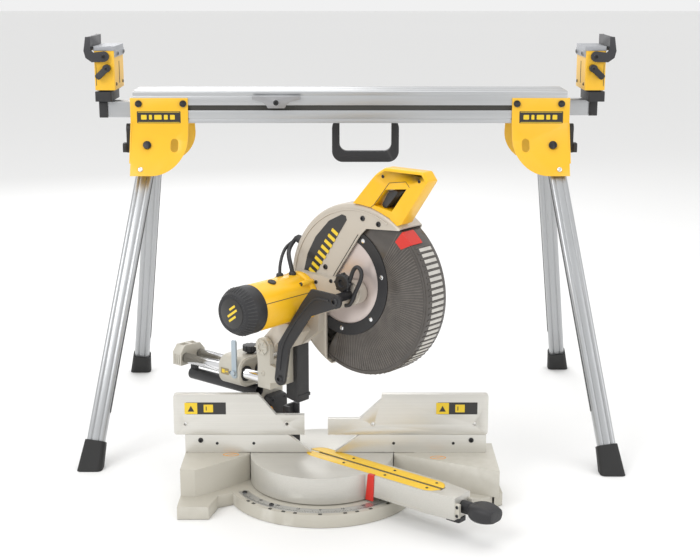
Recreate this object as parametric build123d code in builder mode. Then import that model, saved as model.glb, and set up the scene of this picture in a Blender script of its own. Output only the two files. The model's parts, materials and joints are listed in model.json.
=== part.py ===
"""A sliding compound mitre saw standing on the floor in front of its folding stand.

Millimetres, +X right, +Y back, +Z up.  The origin is on the floor at the middle of the whole
arrangement.  The stand is symmetric about X = 0.  The saw is drawn with its table turned
MITRE degrees to the right.
"""

import os
from math import atan2, cos, degrees, hypot, radians, sin, sqrt

from build123d import *

os.makedirs("parts", exist_ok=True)

SIDES = (("left", -1), ("right", 1))
ROWS = (("front", -1), ("rear", 1))


def save(piece, name):
    """Label one finished piece and write it under its node name."""
    piece.label = name
    export_step(piece, f"parts/{name}.step")


# ---------------------------------------------------------------- driving dimensions: stand
STAND_Y = 192.33         # beam centre behind the origin
STAND_HEIGHT = 813.0     # floor to the top of the beam
BEAM_LENGTH = 1016.0
BEAM_WIDTH = 124.0
BEAM_HEIGHT = 75.0
BEAM_BOTTOM = STAND_HEIGHT - BEAM_HEIGHT
TUBE = 38.0              # square extension tube
TUBE_CHANNEL = 39.0      # channel it slides in
TUBE_OFFSET = 22.0       # tube centre in front of or behind the beam centre
TUBE_Z = BEAM_BOTTOM + 30.5
TUBE_OUTER_END = 571.0   # retracted, from the middle of the stand
TUBE_LENGTH = 900.0

LEG_SPREAD_X = 581.0     # foot centre from the middle
LEG_SPREAD_Y = 390.0
LEG_HEAD_Y = 27.0        # leg centre plane at the beam's bottom
PIVOT_X = 473.0
PIVOT_Z = 689.0
LEG_WIDTH = 40.0
LEG_THICKNESS = 24.0
LEG_STAGGER = 12.6       # left legs fold inside the right legs
PLATE_THICKNESS = 3.0
LEAN = atan2(LEG_SPREAD_Y - LEG_HEAD_Y, BEAM_BOTTOM)
PIVOT_Y = LEG_HEAD_Y + (BEAM_BOTTOM - PIVOT_Z) * (LEG_SPREAD_Y - LEG_HEAD_Y) / BEAM_BOTTOM
PLATE_OFFSET = LEG_STAGGER + LEG_THICKNESS / 2 + 1.0
SUPPORT_X = 570.5        # middle of a work support
SUPPORT_WIDTH = 47.0
SUPPORT_DEPTH = 128.0
CAM_X = 564.0            # pivot of the support's cam lever
CAM_Z = 866.0

# ---------------------------------------------------------------- driving dimensions: saw
SAW_X = -60.0            # table pivot
SAW_Y = STAND_Y - 507.0
MITRE = 50.0
TABLE_Z = 86.0
DECK_Z = 27.0
RING_R = 200.0
TABLE_R = 152.0
ARM_END = 367.0
KERF_HALF_WIDTH = 10.0
KERF_PLATE = 1.5         # thickness; the slit between the plates clears a fully tilted blade
KERF_SLIT = 8.0
FENCE_THICKNESS = 14.0
FENCE_JOINT_Z = 126.0
FENCE_TOP_Z = 216.0

BLADE_R = 152.5
ARBOR = (112.0, 460.0)   # blade centre: along the arm, height
CHOP_PIVOT = (-82.0, 325.0)
CHOP_CENTRE_Z = 226.0    # blade centre when fully lowered
GUARD_R = 180.0
LOWER_GUARD_R = 172.0
GUARD_RIGHT = -56.0      # upper guard casting, across the blade plane
GUARD_LEFT = 20.0
GUARD_WALL = 4.0
MOTOR_AXIS = (-25.0, 435.0)
MOTOR_R = 48.0
RAIL_R = 11.0
RAIL_Z = 252.0
RAIL_N = (34.0, 78.0)    # rail centres to the left of the blade plane
RUNNING_GAP = 0.06       # radial, shaft in hole

# ---------------------------------------------------------------- planes
turn = radians(MITRE)
AHEAD = (sin(turn), -cos(turn), 0)
LEFTWARD = (-cos(turn), -sin(turn), 0)
PIVOT = (SAW_X, SAW_Y, 0)
BASE = Plane(origin=PIVOT)
ARM = Plane(origin=PIVOT, x_dir=AHEAD, z_dir=(0, 0, 1))            # along the arm, to its right
SIDE = Plane(origin=PIVOT, x_dir=AHEAD, z_dir=LEFTWARD)            # along the arm, up
ACROSS = Plane(origin=PIVOT, x_dir=(cos(turn), sin(turn), 0), z_dir=AHEAD)  # right, up
FENCE_FACE = Plane(origin=PIVOT, x_dir=(1, 0, 0), z_dir=(0, -1, 0))        # right, up
STAND = Plane(origin=(0, STAND_Y, 0))
STAND_END = Plane(origin=(0, STAND_Y, 0), x_dir=(0, 1, 0), z_dir=(1, 0, 0))   # back, up
STAND_FACE = Plane(origin=(0, STAND_Y, 0), x_dir=(1, 0, 0), z_dir=(0, -1, 0))  # right, up


def polar(centre, radius, angle):
    """Point at an angle in degrees round a centre."""
    return (
        centre[0] + radius * cos(radians(angle)),
        centre[1] + radius * sin(radians(angle)),
    )


# ================================================================ STAND
# Extruded aluminium beam: two square channels for the extension tubes, T-slots front and back.
with BuildPart() as beam:
    with BuildSketch(STAND_END.offset(-BEAM_LENGTH / 2)):
        with Locations((0, STAND_HEIGHT - BEAM_HEIGHT / 2)):
            RectangleRounded(BEAM_WIDTH, BEAM_HEIGHT, 3)
        with Locations((-TUBE_OFFSET, TUBE_Z), (TUBE_OFFSET, TUBE_Z)):
            Rectangle(TUBE_CHANNEL, TUBE_CHANNEL, mode=Mode.SUBTRACT)
        with Locations((-58, 774), (58, 774)):
            Rectangle(8.2, 12, mode=Mode.SUBTRACT)
        with Locations((-51, 774), (51, 774)):
            Rectangle(7, 22, mode=Mode.SUBTRACT)
        with Locations((-62, 748), (62, 748), (-62, 803), (62, 803)):
            Rectangle(3, 3, mode=Mode.SUBTRACT)
        with Locations((-26, 803), (26, 803)):
            Rectangle(36, 12, mode=Mode.SUBTRACT)
        with Locations((0, STAND_HEIGHT), (-52, STAND_HEIGHT), (52, STAND_HEIGHT)):
            Rectangle(6, 6, mode=Mode.SUBTRACT)
    extrude(amount=BEAM_LENGTH)
save(beam.part, "beam")

# Carrying handle: a U of black plastic hung under the beam with a thick grip.
HANDLE_X = 37.0
with BuildPart() as carry_handle:
    with BuildSketch(STAND_FACE.offset(-9)):
        with Locations((HANDLE_X, 692)):
            RectangleRounded(160, 106, 26)
        with Locations((HANDLE_X, 702)):
            RectangleRounded(124, 74, 18, mode=Mode.SUBTRACT)
        with Locations((HANDLE_X, BEAM_BOTTOM + 20)):
            Rectangle(200, 40, mode=Mode.SUBTRACT)
        with Locations((HANDLE_X, 738)):
            Rectangle(124, 50, mode=Mode.SUBTRACT)
    extrude(amount=18)
    with BuildSketch(STAND.offset(BEAM_BOTTOM - 5)):
        with Locations((HANDLE_X - 76, 0), (HANDLE_X + 76, 0)):
            RectangleRounded(34, 30, 5)
    extrude(amount=5)
save(carry_handle.part, "carry_handle")

# Leg brackets: pressed steel, a front and a rear cheek bent out to the legs' lean and joined by
# an end wall below the extension tube.
CHEEK_X = (379.0, 511.0)
CHEEK_TOP = 797.0
CHEEK_BOTTOM = 622.0
BEND_Y = BEAM_WIDTH / 2 + 0.2
lean_run = sin(LEAN) / cos(LEAN)


def cheek_section(row):
    """Edge-on outline of one cheek: upright on the beam, then leaning outwards."""
    low = BEND_Y + (BEAM_BOTTOM - CHEEK_BOTTOM) * lean_run
    wall = PLATE_THICKNESS / cos(LEAN)
    return [
        (row * BEND_Y, CHEEK_TOP),
        (row * (BEND_Y + PLATE_THICKNESS), CHEEK_TOP),
        (row * (BEND_Y + PLATE_THICKNESS), BEAM_BOTTOM),
        (row * (low + wall), CHEEK_BOTTOM),
        (row * low, CHEEK_BOTTOM),
        (row * BEND_Y, BEAM_BOTTOM),
    ]


for side, sx in SIDES:
    with BuildPart() as bracket:
        with BuildSketch(STAND_END.offset(sx * (CHEEK_X[0] + CHEEK_X[1]) / 2)):
            for row, sy in ROWS:
                Polygon(*cheek_section(sy), align=None)
        extrude(amount=(CHEEK_X[1] - CHEEK_X[0]) / 2, both=True)
        # the inner lower corner of each cheek is cut to a large radius
        with BuildSketch(STAND_FACE.offset(-300)):
            with BuildLine():
                corner = (sx * (CHEEK_X[0] + 80), CHEEK_BOTTOM)
                edge = (sx * CHEEK_X[0], CHEEK_BOTTOM + 80)
                RadiusArc(corner, edge, sx * 84)
                Line(edge, (sx * (CHEEK_X[0] - 20), CHEEK_BOTTOM + 80))
                Line((sx * (CHEEK_X[0] - 20), CHEEK_BOTTOM + 80), (sx * (CHEEK_X[0] - 20), 600))
                Line((sx * (CHEEK_X[0] - 20), 600), (sx * (CHEEK_X[0] + 80), 600))
                Line((sx * (CHEEK_X[0] + 80), 600), corner)
            make_face()
        extrude(amount=600, mode=Mode.SUBTRACT)
        # end wall between the cheeks, and the flanges that rise beside the beam
        with BuildSketch(STAND_END.offset(sx * CHEEK_X[1])):
            low_y = BEND_Y + (BEAM_BOTTOM - 650) * lean_run
            Polygon(
                (-BEND_Y - 3, TUBE_Z - 24), (BEND_Y + 3, TUBE_Z - 24), (low_y + 3, 650),
                (low_y - 40, 640), (-low_y + 40, 640), (-low_y - 3, 650), align=None)
            for row, sy in ROWS:
                Polygon(
                    (sy * (BEND_Y + 3), TUBE_Z - 24), (sy * (BEND_Y + 3), CHEEK_TOP),
                    (sy * (BEND_Y - 9), CHEEK_TOP), (sy * (BEND_Y - 9), TUBE_Z - 24), align=None)
        extrude(amount=sx * PLATE_THICKNESS)
        # oval window and the pivot and bolt holes
        with BuildSketch(STAND_FACE.offset(-300)):
            with Locations((sx * 410, 689)):
                SlotOverall(30, 18, rotation=90)
        extrude(amount=600, mode=Mode.SUBTRACT)
    save(bracket.part, f"bracket_{side}")

# Beam bolts and leg pivots: round-headed bolts, all alike in pairs.
with BuildPart() as bracket_bolts:
    for side, sx in SIDES:
        for row, sy in ROWS:
            face = STAND_FACE.offset(-sy * (BEND_Y + PLATE_THICKNESS))
            with BuildSketch(face):
                with Locations((sx * 494, 784), (sx * 390, 784)):
                    Circle(8)
            extrude(amount=-sy * 4)
            lean_y = BEND_Y + (BEAM_BOTTOM - PIVOT_Z) * lean_run + PLATE_THICKNESS / cos(LEAN)
            seat = Plane(
                origin=(sx * PIVOT_X, STAND_Y + sy * lean_y, PIVOT_Z),
                x_dir=(1, 0, 0),
                z_dir=(0, sy * cos(LEAN), sin(LEAN)))
            with BuildSketch(seat):
                Circle(9.5)
            extrude(amount=6)
save(bracket_bolts.part, "bracket_bolts")


def leg_frame(sx, sy):
    """Plane across one leg at its pivot: x across the width, z down the leg."""
    stagger = sx * LEG_STAGGER
    normal = (0, sy * cos(LEAN), sin(LEAN))
    origin = (
        sx * PIVOT_X,
        STAND_Y + sy * (PIVOT_Y + stagger * cos(LEAN)),
        PIVOT_Z + stagger * sin(LEAN),
    )
    foot = (sx * LEG_SPREAD_X, STAND_Y + sy * (LEG_SPREAD_Y + stagger / cos(LEAN)), 0)
    axis = Vector(*foot) - Vector(*origin)
    return Plane(origin=origin, x_dir=Vector(*normal).cross(axis), z_dir=axis), axis.length


for side, sx in SIDES:
    for row, sy in ROWS:
        frame, reach = leg_frame(sx, sy)
        # leg: rounded aluminium extrusion with flutes down its broad face
        with BuildPart() as leg:
            with BuildSketch(frame.offset(-30)):
                RectangleRounded(LEG_WIDTH, LEG_THICKNESS, 7)
                Rectangle(LEG_WIDTH - 12, LEG_THICKNESS - 6, mode=Mode.SUBTRACT)
                with Locations((-8, LEG_THICKNESS / 2), (8, LEG_THICKNESS / 2)):
                    Rectangle(2, 2, mode=Mode.SUBTRACT)
                with Locations((-8, -LEG_THICKNESS / 2), (8, -LEG_THICKNESS / 2)):
                    Rectangle(2, 2, mode=Mode.SUBTRACT)
            extrude(amount=reach + 30 - 20)
        save(leg.part, f"leg_{row}_{side}")

        # foot: flared rubber boot, its sole level on the floor
        with BuildPart() as foot:
            with BuildSketch(frame.offset(reach - 62)):
                RectangleRounded(LEG_WIDTH + 7, LEG_THICKNESS + 7, 9)
            with BuildSketch(frame.offset(reach + 24)):
                RectangleRounded(LEG_WIDTH + 18, LEG_THICKNESS + 16, 11)
            loft()
            with BuildSketch(frame.offset(reach - 70)):
                RectangleRounded(LEG_WIDTH + 0.1, LEG_THICKNESS + 0.1, 7)
            extrude(amount=50.5, mode=Mode.SUBTRACT)
            split(bisect_by=Plane.XY, keep=Keep.TOP)
        save(foot.part, f"foot_{row}_{side}")

for side, sx in SIDES:
    tube_y = sx * TUBE_OFFSET
    # extension tube: square aluminium tube in the front (left) or rear (right) channel
    with BuildPart() as extension_tube:
        with BuildSketch(STAND_END.offset(sx * TUBE_OUTER_END)):
            with Locations((tube_y, TUBE_Z)):
                RectangleRounded(TUBE, TUBE, 2)
                RectangleRounded(TUBE - 5, TUBE - 5, 1.5, mode=Mode.SUBTRACT)
        extrude(amount=-sx * TUBE_LENGTH)
    save(extension_tube.part, f"extension_tube_{side}")

    # black casting that caps the tube and carries the support's post
    with BuildPart() as support_base:
        with BuildSketch(STAND_END.offset(sx * TUBE_OUTER_END)):
            with Locations((tube_y, TUBE_Z)):
                RectangleRounded(TUBE + 6, TUBE + 2, 5)
        extrude(amount=sx * 19)
        with BuildSketch(STAND_END.offset(sx * (TUBE_OUTER_END - 40))):
            with Locations((tube_y, TUBE_Z)):
                RectangleRounded(TUBE - 5.4, TUBE - 5.4, 2)
        extrude(amount=sx * 40)
        with BuildSketch(STAND.offset(788)):
            with Locations((sx * 577, 0)):
                RectangleRounded(38, 118, 4)
        extrude(amount=23)
        with BuildSketch(STAND.offset(811)):
            with Locations((sx * SUPPORT_X, 0)):
                RectangleRounded(34, 104, 3)
        extrude(amount=74)
    save(support_base.part, f"support_base_{side}")

    # yellow box that rises on the post
    with BuildPart() as support_riser:
        with BuildSketch(STAND.offset(815)):
            with Locations((sx * SUPPORT_X, 0)):
                RectangleRounded(SUPPORT_WIDTH, SUPPORT_DEPTH, 3)
        extrude(amount=91)
        with BuildSketch(STAND.offset(814)):
            with Locations((sx * SUPPORT_X, 0)):
                Rectangle(SUPPORT_WIDTH - 7, SUPPORT_DEPTH - 7)
        extrude(amount=89, mode=Mode.SUBTRACT)
        with BuildSketch(STAND_FACE.offset(SUPPORT_DEPTH / 2 + 1)):
            with Locations((sx * CAM_X, CAM_Z)):
                Circle(5 + RUNNING_GAP)
        extrude(amount=-6, mode=Mode.SUBTRACT)
    save(support_riser.part, f"support_riser_{side}")

    # grey cap on the box, turned down over its inner side
    with BuildPart() as support_top:
        with BuildSketch(STAND.offset(906)):
            with Locations((sx * SUPPORT_X, 0)):
                RectangleRounded(SUPPORT_WIDTH + 3, SUPPORT_DEPTH + 2, 4)
        extrude(amount=10)
        with BuildSketch(STAND_END.offset(sx * (SUPPORT_X - SUPPORT_WIDTH / 2))):
            with Locations((0, 899)):
                Rectangle(SUPPORT_DEPTH - 4, 16)
        extrude(amount=-sx * 2.5)
        with BuildSketch(STAND_END.offset(sx * (SUPPORT_X - SUPPORT_WIDTH / 2) - sx * 2.5)):
            with Locations((-42, 899), (42, 899)):
                Circle(6)
        extrude(amount=-sx * 3)
    save(support_top.part, f"support_top_{side}")

    # J-shaped flip stop: two end cheeks and a wall between them
    stop_pivot = (sx * 570, 893)
    with BuildPart() as flip_stop:
        for row, sy in ROWS:
            with BuildSketch(STAND_FACE.offset(-sy * (SUPPORT_DEPTH / 2 + 1.5))):
                with Locations(stop_pivot):
                    Circle(12)
                Polygon(
                    (sx * 570, 881), (sx * 598, 880), (sx * 612, 890), (sx * 616, 906),
                    (sx * 611, 938), (sx * 600, 938), (sx * 600, 908), (sx * 594, 902),
                    (sx * 570, 905), align=None)
            extrude(amount=-sy * 6)
        with BuildSketch(STAND_END.offset(sx * 600)):
            with Locations((0, 922)):
                Rectangle(SUPPORT_DEPTH + 12, 32)
        extrude(amount=sx * 8)
    save(flip_stop.part, f"flip_stop_{side}")

    # cam lever that locks the riser
    cam = Plane(
        origin=(sx * CAM_X, STAND_Y - SUPPORT_DEPTH / 2 - 0.5, CAM_Z),
        x_dir=(sx * 0.72, 0, -0.69),
        z_dir=(0, -1, 0))
    with BuildPart() as cam_lever:
        with BuildSketch(cam):
            Circle(9)
            with Locations((14, 0)):
                RectangleRounded(36, 14, 4)
        extrude(amount=15)
        with BuildSketch(cam):
            Circle(5)
        extrude(amount=-2.5)
    save(cam_lever.part, f"cam_lever_{side}")

    # leg lock lever on the bracket's end wall
    lock = STAND_END.offset(sx * (CHEEK_X[1] + PLATE_THICKNESS + 0.5))
    with BuildPart() as leg_lever:
        with BuildSketch(lock):
            with Locations((-20, 720)):
                Circle(13)
            Polygon((-31, 716), (-9, 716), (-10, 672), (-14, 664), (-27, 664), (-31, 672),
                    align=None)
        extrude(amount=sx * 16)
        with BuildSketch(lock.offset(sx * 16)):
            with Locations((-20, 676)):
                RectangleRounded(32, 22, 6)
        extrude(amount=sx * 9)
    save(leg_lever.part, f"leg_lever_{side}")

# Extension locks: a silver winged clamp on the beam, front for the left tube, rear for the right.
for place, sx, sy in (("front", -1, -1), ("rear", 1, 1)):
    clamp = STAND_FACE.offset(-sy * (BEAM_WIDTH / 2 + 0.5))
    with BuildPart() as extension_lock:
        with BuildSketch(clamp):
            with Locations((sx * 172, 787)):
                RectangleRounded(44, 26, 5)
        extrude(amount=-sy * 10)
        with BuildSketch(clamp.offset(-sy * 10)):
            Polygon(
                (sx * 117, 803), (sx * 117, 795), (sx * 140, 789), (sx * 150, 780),
                (sx * 194, 780), (sx * 204, 789), (sx * 228, 795), (sx * 228, 803),
                (sx * 200, 801), (sx * 144, 801), align=None)
        extrude(amount=-sy * 7)
        with BuildSketch(clamp.offset(-sy * 17)):
            with Locations((sx * 172, 788)):
                Circle(8)
        extrude(amount=-sy * 5)
    save(extension_lock.part, f"extension_lock_{place}")

# ================================================================ SAW BASE AND TABLE
MOUNT_HOLE_X = 150.0
MOUNT_HOLE_Y = (-105.0, 85.0)
with BuildPart() as saw_base:
    # flat deck under the turning table, cut straight at the rear
    with BuildSketch(BASE):
        Circle(RING_R)
        with Locations((0, 200)):
            Rectangle(500, 200, mode=Mode.SUBTRACT)
        Polygon((-292, -157), (-228, -157), (-214, -96), (-150, -60), (-150, 60), (-291, 60),
                align=None)
        Polygon((150, -40), (330, -112), (378, -81), (372, 60), (150, 60), align=None)
    extrude(amount=DECK_Z)
    # left and right wings, level with the table
    with BuildSketch(BASE.offset(DECK_Z)):
        Polygon((-291, -99), (-260, -103), (-216, -68), (-152, -6), (-152, 34), (-169, 43),
                (-169, 58), (-291, 58), align=None)
        Polygon((152, -6), (368, -109), (368, 58), (152, 58), align=None)
    extrude(amount=TABLE_Z - DECK_Z)
    # the wings are hollow castings, open below
    with BuildSketch(BASE):
        Polygon((-284, -92), (-262, -96), (-222, -60), (-168, -6), (-168, 28), (-182, 38),
                (-182, 50), (-284, 50), align=None)
        Polygon((168, -4), (360, -98), (360, 50), (168, 50), align=None)
    extrude(amount=TABLE_Z - 8, mode=Mode.SUBTRACT)
    # round well for the turntable
    with BuildSketch(BASE.offset(DECK_Z)):
        Circle(TABLE_R + 2)
    extrude(amount=TABLE_Z, mode=Mode.SUBTRACT)
    # centre pin and bench-mounting holes
    with BuildSketch(BASE.offset(DECK_Z)):
        Circle(12)
    extrude(amount=40)
    with BuildSketch(BASE):
        with Locations(*[(x, y) for x in (-MOUNT_HOLE_X, MOUNT_HOLE_X) for y in MOUNT_HOLE_Y]):
            Circle(4.5)
    extrude(amount=DECK_Z, mode=Mode.SUBTRACT)
save(saw_base.part, "saw_base")

# Turntable: a drum with the long arm cast in one piece with it.
with BuildPart() as turntable:
    with BuildSketch(ARM.offset(30)):
        Circle(TABLE_R)
        with Locations((-148, 0)):
            Rectangle(40, 86, mode=Mode.SUBTRACT)    # pocket for the trunnion
    extrude(amount=TABLE_Z - 30)
    with BuildSketch(ARM.offset(40)):
        Polygon((120, -34), (300, -34), (ARM_END, -26), (ARM_END, 26), (300, 34), (120, 34),
                align=None)
    extrude(amount=TABLE_Z - 40)
    # hollow underside of the arm
    with BuildSketch(ARM.offset(40)):
        with Locations((255, 0)):
            Rectangle(190, 46)
    extrude(amount=24, mode=Mode.SUBTRACT)
    # kerf slot, recess for the kerf plates, pivot bore
    with BuildSketch(ARM.offset(66)):
        with Locations((156, 0)):
            Rectangle(330, 2 * KERF_HALF_WIDTH)
    extrude(amount=30, mode=Mode.SUBTRACT)
    with BuildSketch(ARM.offset(TABLE_Z - KERF_PLATE)):
        with Locations((142, 0)):
            SlotOverall(352, 58)
    extrude(amount=10, mode=Mode.SUBTRACT)
    with BuildSketch(ARM.offset(30)):
        Circle(12 + RUNNING_GAP)
    extrude(amount=38, mode=Mode.SUBTRACT)
save(turntable.part, "turntable")

with BuildPart() as kerf_plates:
    with BuildSketch(ARM.offset(TABLE_Z - KERF_PLATE)):
        with Locations((142, 0)):
            SlotOverall(351, 57)
            Rectangle(360, KERF_SLIT, mode=Mode.SUBTRACT)
    extrude(amount=KERF_PLATE)
save(kerf_plates.part, "kerf_plates")

# Red pointer and detent plate on the arm's left side
with BuildPart() as mitre_pointer:
    with BuildSketch(SIDE.offset(34)):
        Polygon((150, 31), (170, 31), (172, TABLE_Z), (156, TABLE_Z), align=None)
    extrude(amount=3)
    with BuildSketch(ARM.offset(TABLE_Z)):
        with Locations((164, -33.5)):
            Rectangle(14, 7)
    extrude(amount=2)
save(mitre_pointer.part, "mitre_pointer")

MITRE_HANDLE_Z = 62.0
MITRE_GRIP = (      # along the arm, width, height
    (389.0, 26.0, 24.0),
    (400.0, 46.0, 30.0),
    (430.0, 50.0, 32.0),
    (448.0, 40.0, 24.0),
)
with BuildPart() as mitre_handle:
    with BuildSketch(ACROSS.offset(ARM_END + 0.4)):
        with Locations((0, MITRE_HANDLE_Z)):
            Circle(13)
    extrude(amount=22)
    for reach, wide, tall in MITRE_GRIP:
        with BuildSketch(ACROSS.offset(reach)):
            with Locations((0, MITRE_HANDLE_Z)):
                RectangleRounded(wide, tall, 11)
    loft()
save(mitre_handle.part, "mitre_handle")

with BuildPart() as mitre_latch:
    with BuildSketch(ARM.offset(30)):
        with Locations((352, 0)):
            RectangleRounded(34, 26, 5)
    extrude(amount=9)
save(mitre_latch.part, "mitre_latch")

# ================================================================ FENCES
with BuildPart() as fence_base_left:
    with BuildSketch(FENCE_FACE):
        Polygon((-291, TABLE_Z + 1), (-22, TABLE_Z + 1), (-71, FENCE_JOINT_Z),
                (-291, FENCE_JOINT_Z), align=None)
    extrude(amount=-FENCE_THICKNESS)
    with BuildSketch(BASE.offset(TABLE_Z)):
        with Locations((-232, 26)):
            Rectangle(110, 26)
    extrude(amount=12)
    with BuildSketch(BASE.offset(TABLE_Z)):
        with Locations((-232, FENCE_THICKNESS / 2)):
            Rectangle(110, FENCE_THICKNESS)
    extrude(amount=1)
save(fence_base_left.part, "fence_base_left")

with BuildPart() as fence_base_right:
    with BuildSketch(FENCE_FACE):
        Polygon((28, TABLE_Z + 1), (350, TABLE_Z + 1), (350, FENCE_JOINT_Z),
                (80, FENCE_JOINT_Z), align=None)
    extrude(amount=-FENCE_THICKNESS)
    with BuildSketch(BASE.offset(TABLE_Z)):
        with Locations((272, 26)):
            Rectangle(150, 26)
    extrude(amount=12)
    with BuildSketch(BASE.offset(TABLE_Z)):
        with Locations((272, FENCE_THICKNESS / 2)):
            Rectangle(150, FENCE_THICKNESS)
    extrude(amount=1)
save(fence_base_right.part, "fence_base_right")

SLIDING_Z = FENCE_JOINT_Z + 0.4
with BuildPart() as sliding_fence_left:
    with BuildSketch(FENCE_FACE):
        Polygon((-314, SLIDING_Z), (-37, SLIDING_Z), (-37, 170), (-97, 170), (-135, FENCE_TOP_Z),
                (-314, FENCE_TOP_Z), align=None)
        with Locations((-290, 150), (-74, 150)):
            Circle(3.5, mode=Mode.SUBTRACT)
    extrude(amount=-FENCE_THICKNESS)
    fillet(sliding_fence_left.edges().filter_by(Axis.Y).group_by(Axis.X)[0], 6)
save(sliding_fence_left.part, "sliding_fence_left")

with BuildPart() as sliding_fence_right:
    with BuildSketch(FENCE_FACE):
        Polygon((13, SLIDING_Z), (353, SLIDING_Z), (353, FENCE_TOP_Z), (127, FENCE_TOP_Z), (127, 205),
                (80, 161), (13, 161), align=None)
        with Locations((325, 150), (109, 150)):
            Circle(3.5, mode=Mode.SUBTRACT)
    extrude(amount=-FENCE_THICKNESS)
    fillet(sliding_fence_right.edges().filter_by(Axis.Y).group_by(Axis.X)[-1], 6)
save(sliding_fence_right.part, "sliding_fence_right")

# ================================================================ TILTING CARRIER
BEVEL_R = 42.0
TRUNNION = (-147.0, -128.0)       # along the arm, rear to front
CARRIER_PLATE = (-165.0, -147.5)
SHROUD_HEIGHT = 90.0              # stays below the blade guard when the head is back and down
with BuildPart() as trunnion:
    with BuildSketch(ACROSS.offset(TRUNNION[0])):
        with Locations((0, TABLE_Z)):
            Circle(BEVEL_R)
        with Locations((0, 64)):
            Rectangle(72, 44)
    extrude(amount=TRUNNION[1] - TRUNNION[0])
    with BuildSketch(ACROSS.offset(TRUNNION[0])):
        with Locations((0, TABLE_Z)):
            Circle(10 + RUNNING_GAP)
    extrude(amount=TRUNNION[1] - TRUNNION[0], mode=Mode.SUBTRACT)
    # web forward over the table to the hollow dust shroud behind the blade
    with BuildSketch(ARM.offset(TABLE_Z)):
        with Locations((-109, 0)):
            Rectangle(38, 30)
    extrude(amount=10)
    with BuildSketch(ARM.offset(TABLE_Z)):
        with Locations((-87, 0)):
            RectangleRounded(17, 40, 4)
    extrude(amount=SHROUD_HEIGHT)
    with BuildSketch(ARM.offset(TABLE_Z + 20)):
        with Locations((-82, 0)):
            Rectangle(18, 26)
    extrude(amount=SHROUD_HEIGHT, mode=Mode.SUBTRACT)
save(trunnion.part, "trunnion")

HOUSING = (-207.0, -146.0)
HOUSING_Z = (222.0, 285.0)
HOUSING_N = (-20.0, 98.0)
with BuildPart() as bevel_carrier:
    with BuildSketch(ACROSS.offset(CARRIER_PLATE[0])):
        with Locations((0, TABLE_Z)):
            Circle(BEVEL_R)
        Polygon((38, 100), (38, HOUSING_Z[0] + 10), (-22, HOUSING_Z[0] + 10), (-38, 100),
                align=None)
    extrude(amount=CARRIER_PLATE[1] - CARRIER_PLATE[0])
    with BuildSketch(ACROSS.offset(HOUSING[0])):
        with Locations((-(HOUSING_N[0] + HOUSING_N[1]) / 2, sum(HOUSING_Z) / 2)):
            RectangleRounded(HOUSING_N[1] - HOUSING_N[0], HOUSING_Z[1] - HOUSING_Z[0], 24)
    extrude(amount=HOUSING[1] - HOUSING[0])
    with BuildSketch(ACROSS.offset(HOUSING[0])):
        with Locations(*[(-n, RAIL_Z) for n in RAIL_N]):
            Circle(RAIL_R + RUNNING_GAP)
    extrude(amount=HOUSING[1] - HOUSING[0], mode=Mode.SUBTRACT)
    with BuildSketch(ACROSS.offset(CARRIER_PLATE[1])):
        with Locations((0, TABLE_Z)):
            Circle(10)
    extrude(amount=19.5)
save(bevel_carrier.part, "bevel_carrier")

with BuildPart() as side_strap:
    with BuildSketch(SIDE.offset(HOUSING_N[1])):
        with Locations((-158, 286)):
            RectangleRounded(13, 84, 5)
    extrude(amount=4)
    with BuildSketch(SIDE.offset(HOUSING_N[1] + 4)):
        with Locations((-158, 256)):
            Circle(6)
    extrude(amount=5)
save(side_strap.part, "side_strap")

with BuildPart() as rail_lock_knob:
    with BuildSketch(ARM.offset(HOUSING_Z[1] + 0.4)):
        with Locations((-168, -40)):
            Circle(8)
    extrude(amount=6)
    with BuildSketch(ARM.offset(HOUSING_Z[1] + 6)):
        with Locations((-168, -40)):
            Circle(17)
            with PolarLocations(18, 10):
                Circle(3, mode=Mode.SUBTRACT)
    extrude(amount=12)
save(rail_lock_knob.part, "rail_lock_knob")

with BuildPart() as bevel_lever:
    with BuildSketch(ACROSS.offset(TRUNNION[1] + 0.4)):
        with Locations((-14, 112)):
            Circle(12)
        Polygon((-22, 104), (-6, 120), (-30, 172), (-46, 168), align=None)
    extrude(amount=12)
save(bevel_lever.part, "bevel_lever")

# ================================================================ SLIDING CARRIAGE
RAIL_SPAN = (-345.0, -70.0)
with BuildPart() as slide_rails:
    with BuildSketch(ACROSS.offset(RAIL_SPAN[0])):
        with Locations(*[(-n, RAIL_Z) for n in RAIL_N]):
            Circle(RAIL_R)
            Circle(RAIL_R - 2.5, mode=Mode.SUBTRACT)
    extrude(amount=RAIL_SPAN[1] - RAIL_SPAN[0])
save(slide_rails.part, "slide_rails")

REAR_BRACKET = (-357.0, -331.0)
with BuildPart() as rear_bracket:
    with BuildSketch(ACROSS.offset(REAR_BRACKET[0])):
        Polygon((-20, 236), (-20, 262), (-34, 278), (-80, 280), (-93, 264), (-93, 236),
                align=None)
    extrude(amount=REAR_BRACKET[1] - REAR_BRACKET[0])
    with BuildSketch(ACROSS.offset(REAR_BRACKET[0] + 6)):
        with Locations(*[(-n, RAIL_Z) for n in RAIL_N]):
            Circle(RAIL_R + 0.02)
    extrude(amount=30, mode=Mode.SUBTRACT)
    with BuildSketch(ARM.offset(270)):
        with Locations((-344, -42), (-344, -70)):
            Rectangle(16, 20)
    extrude(amount=12, mode=Mode.SUBTRACT)
save(rear_bracket.part, "rear_bracket")

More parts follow.
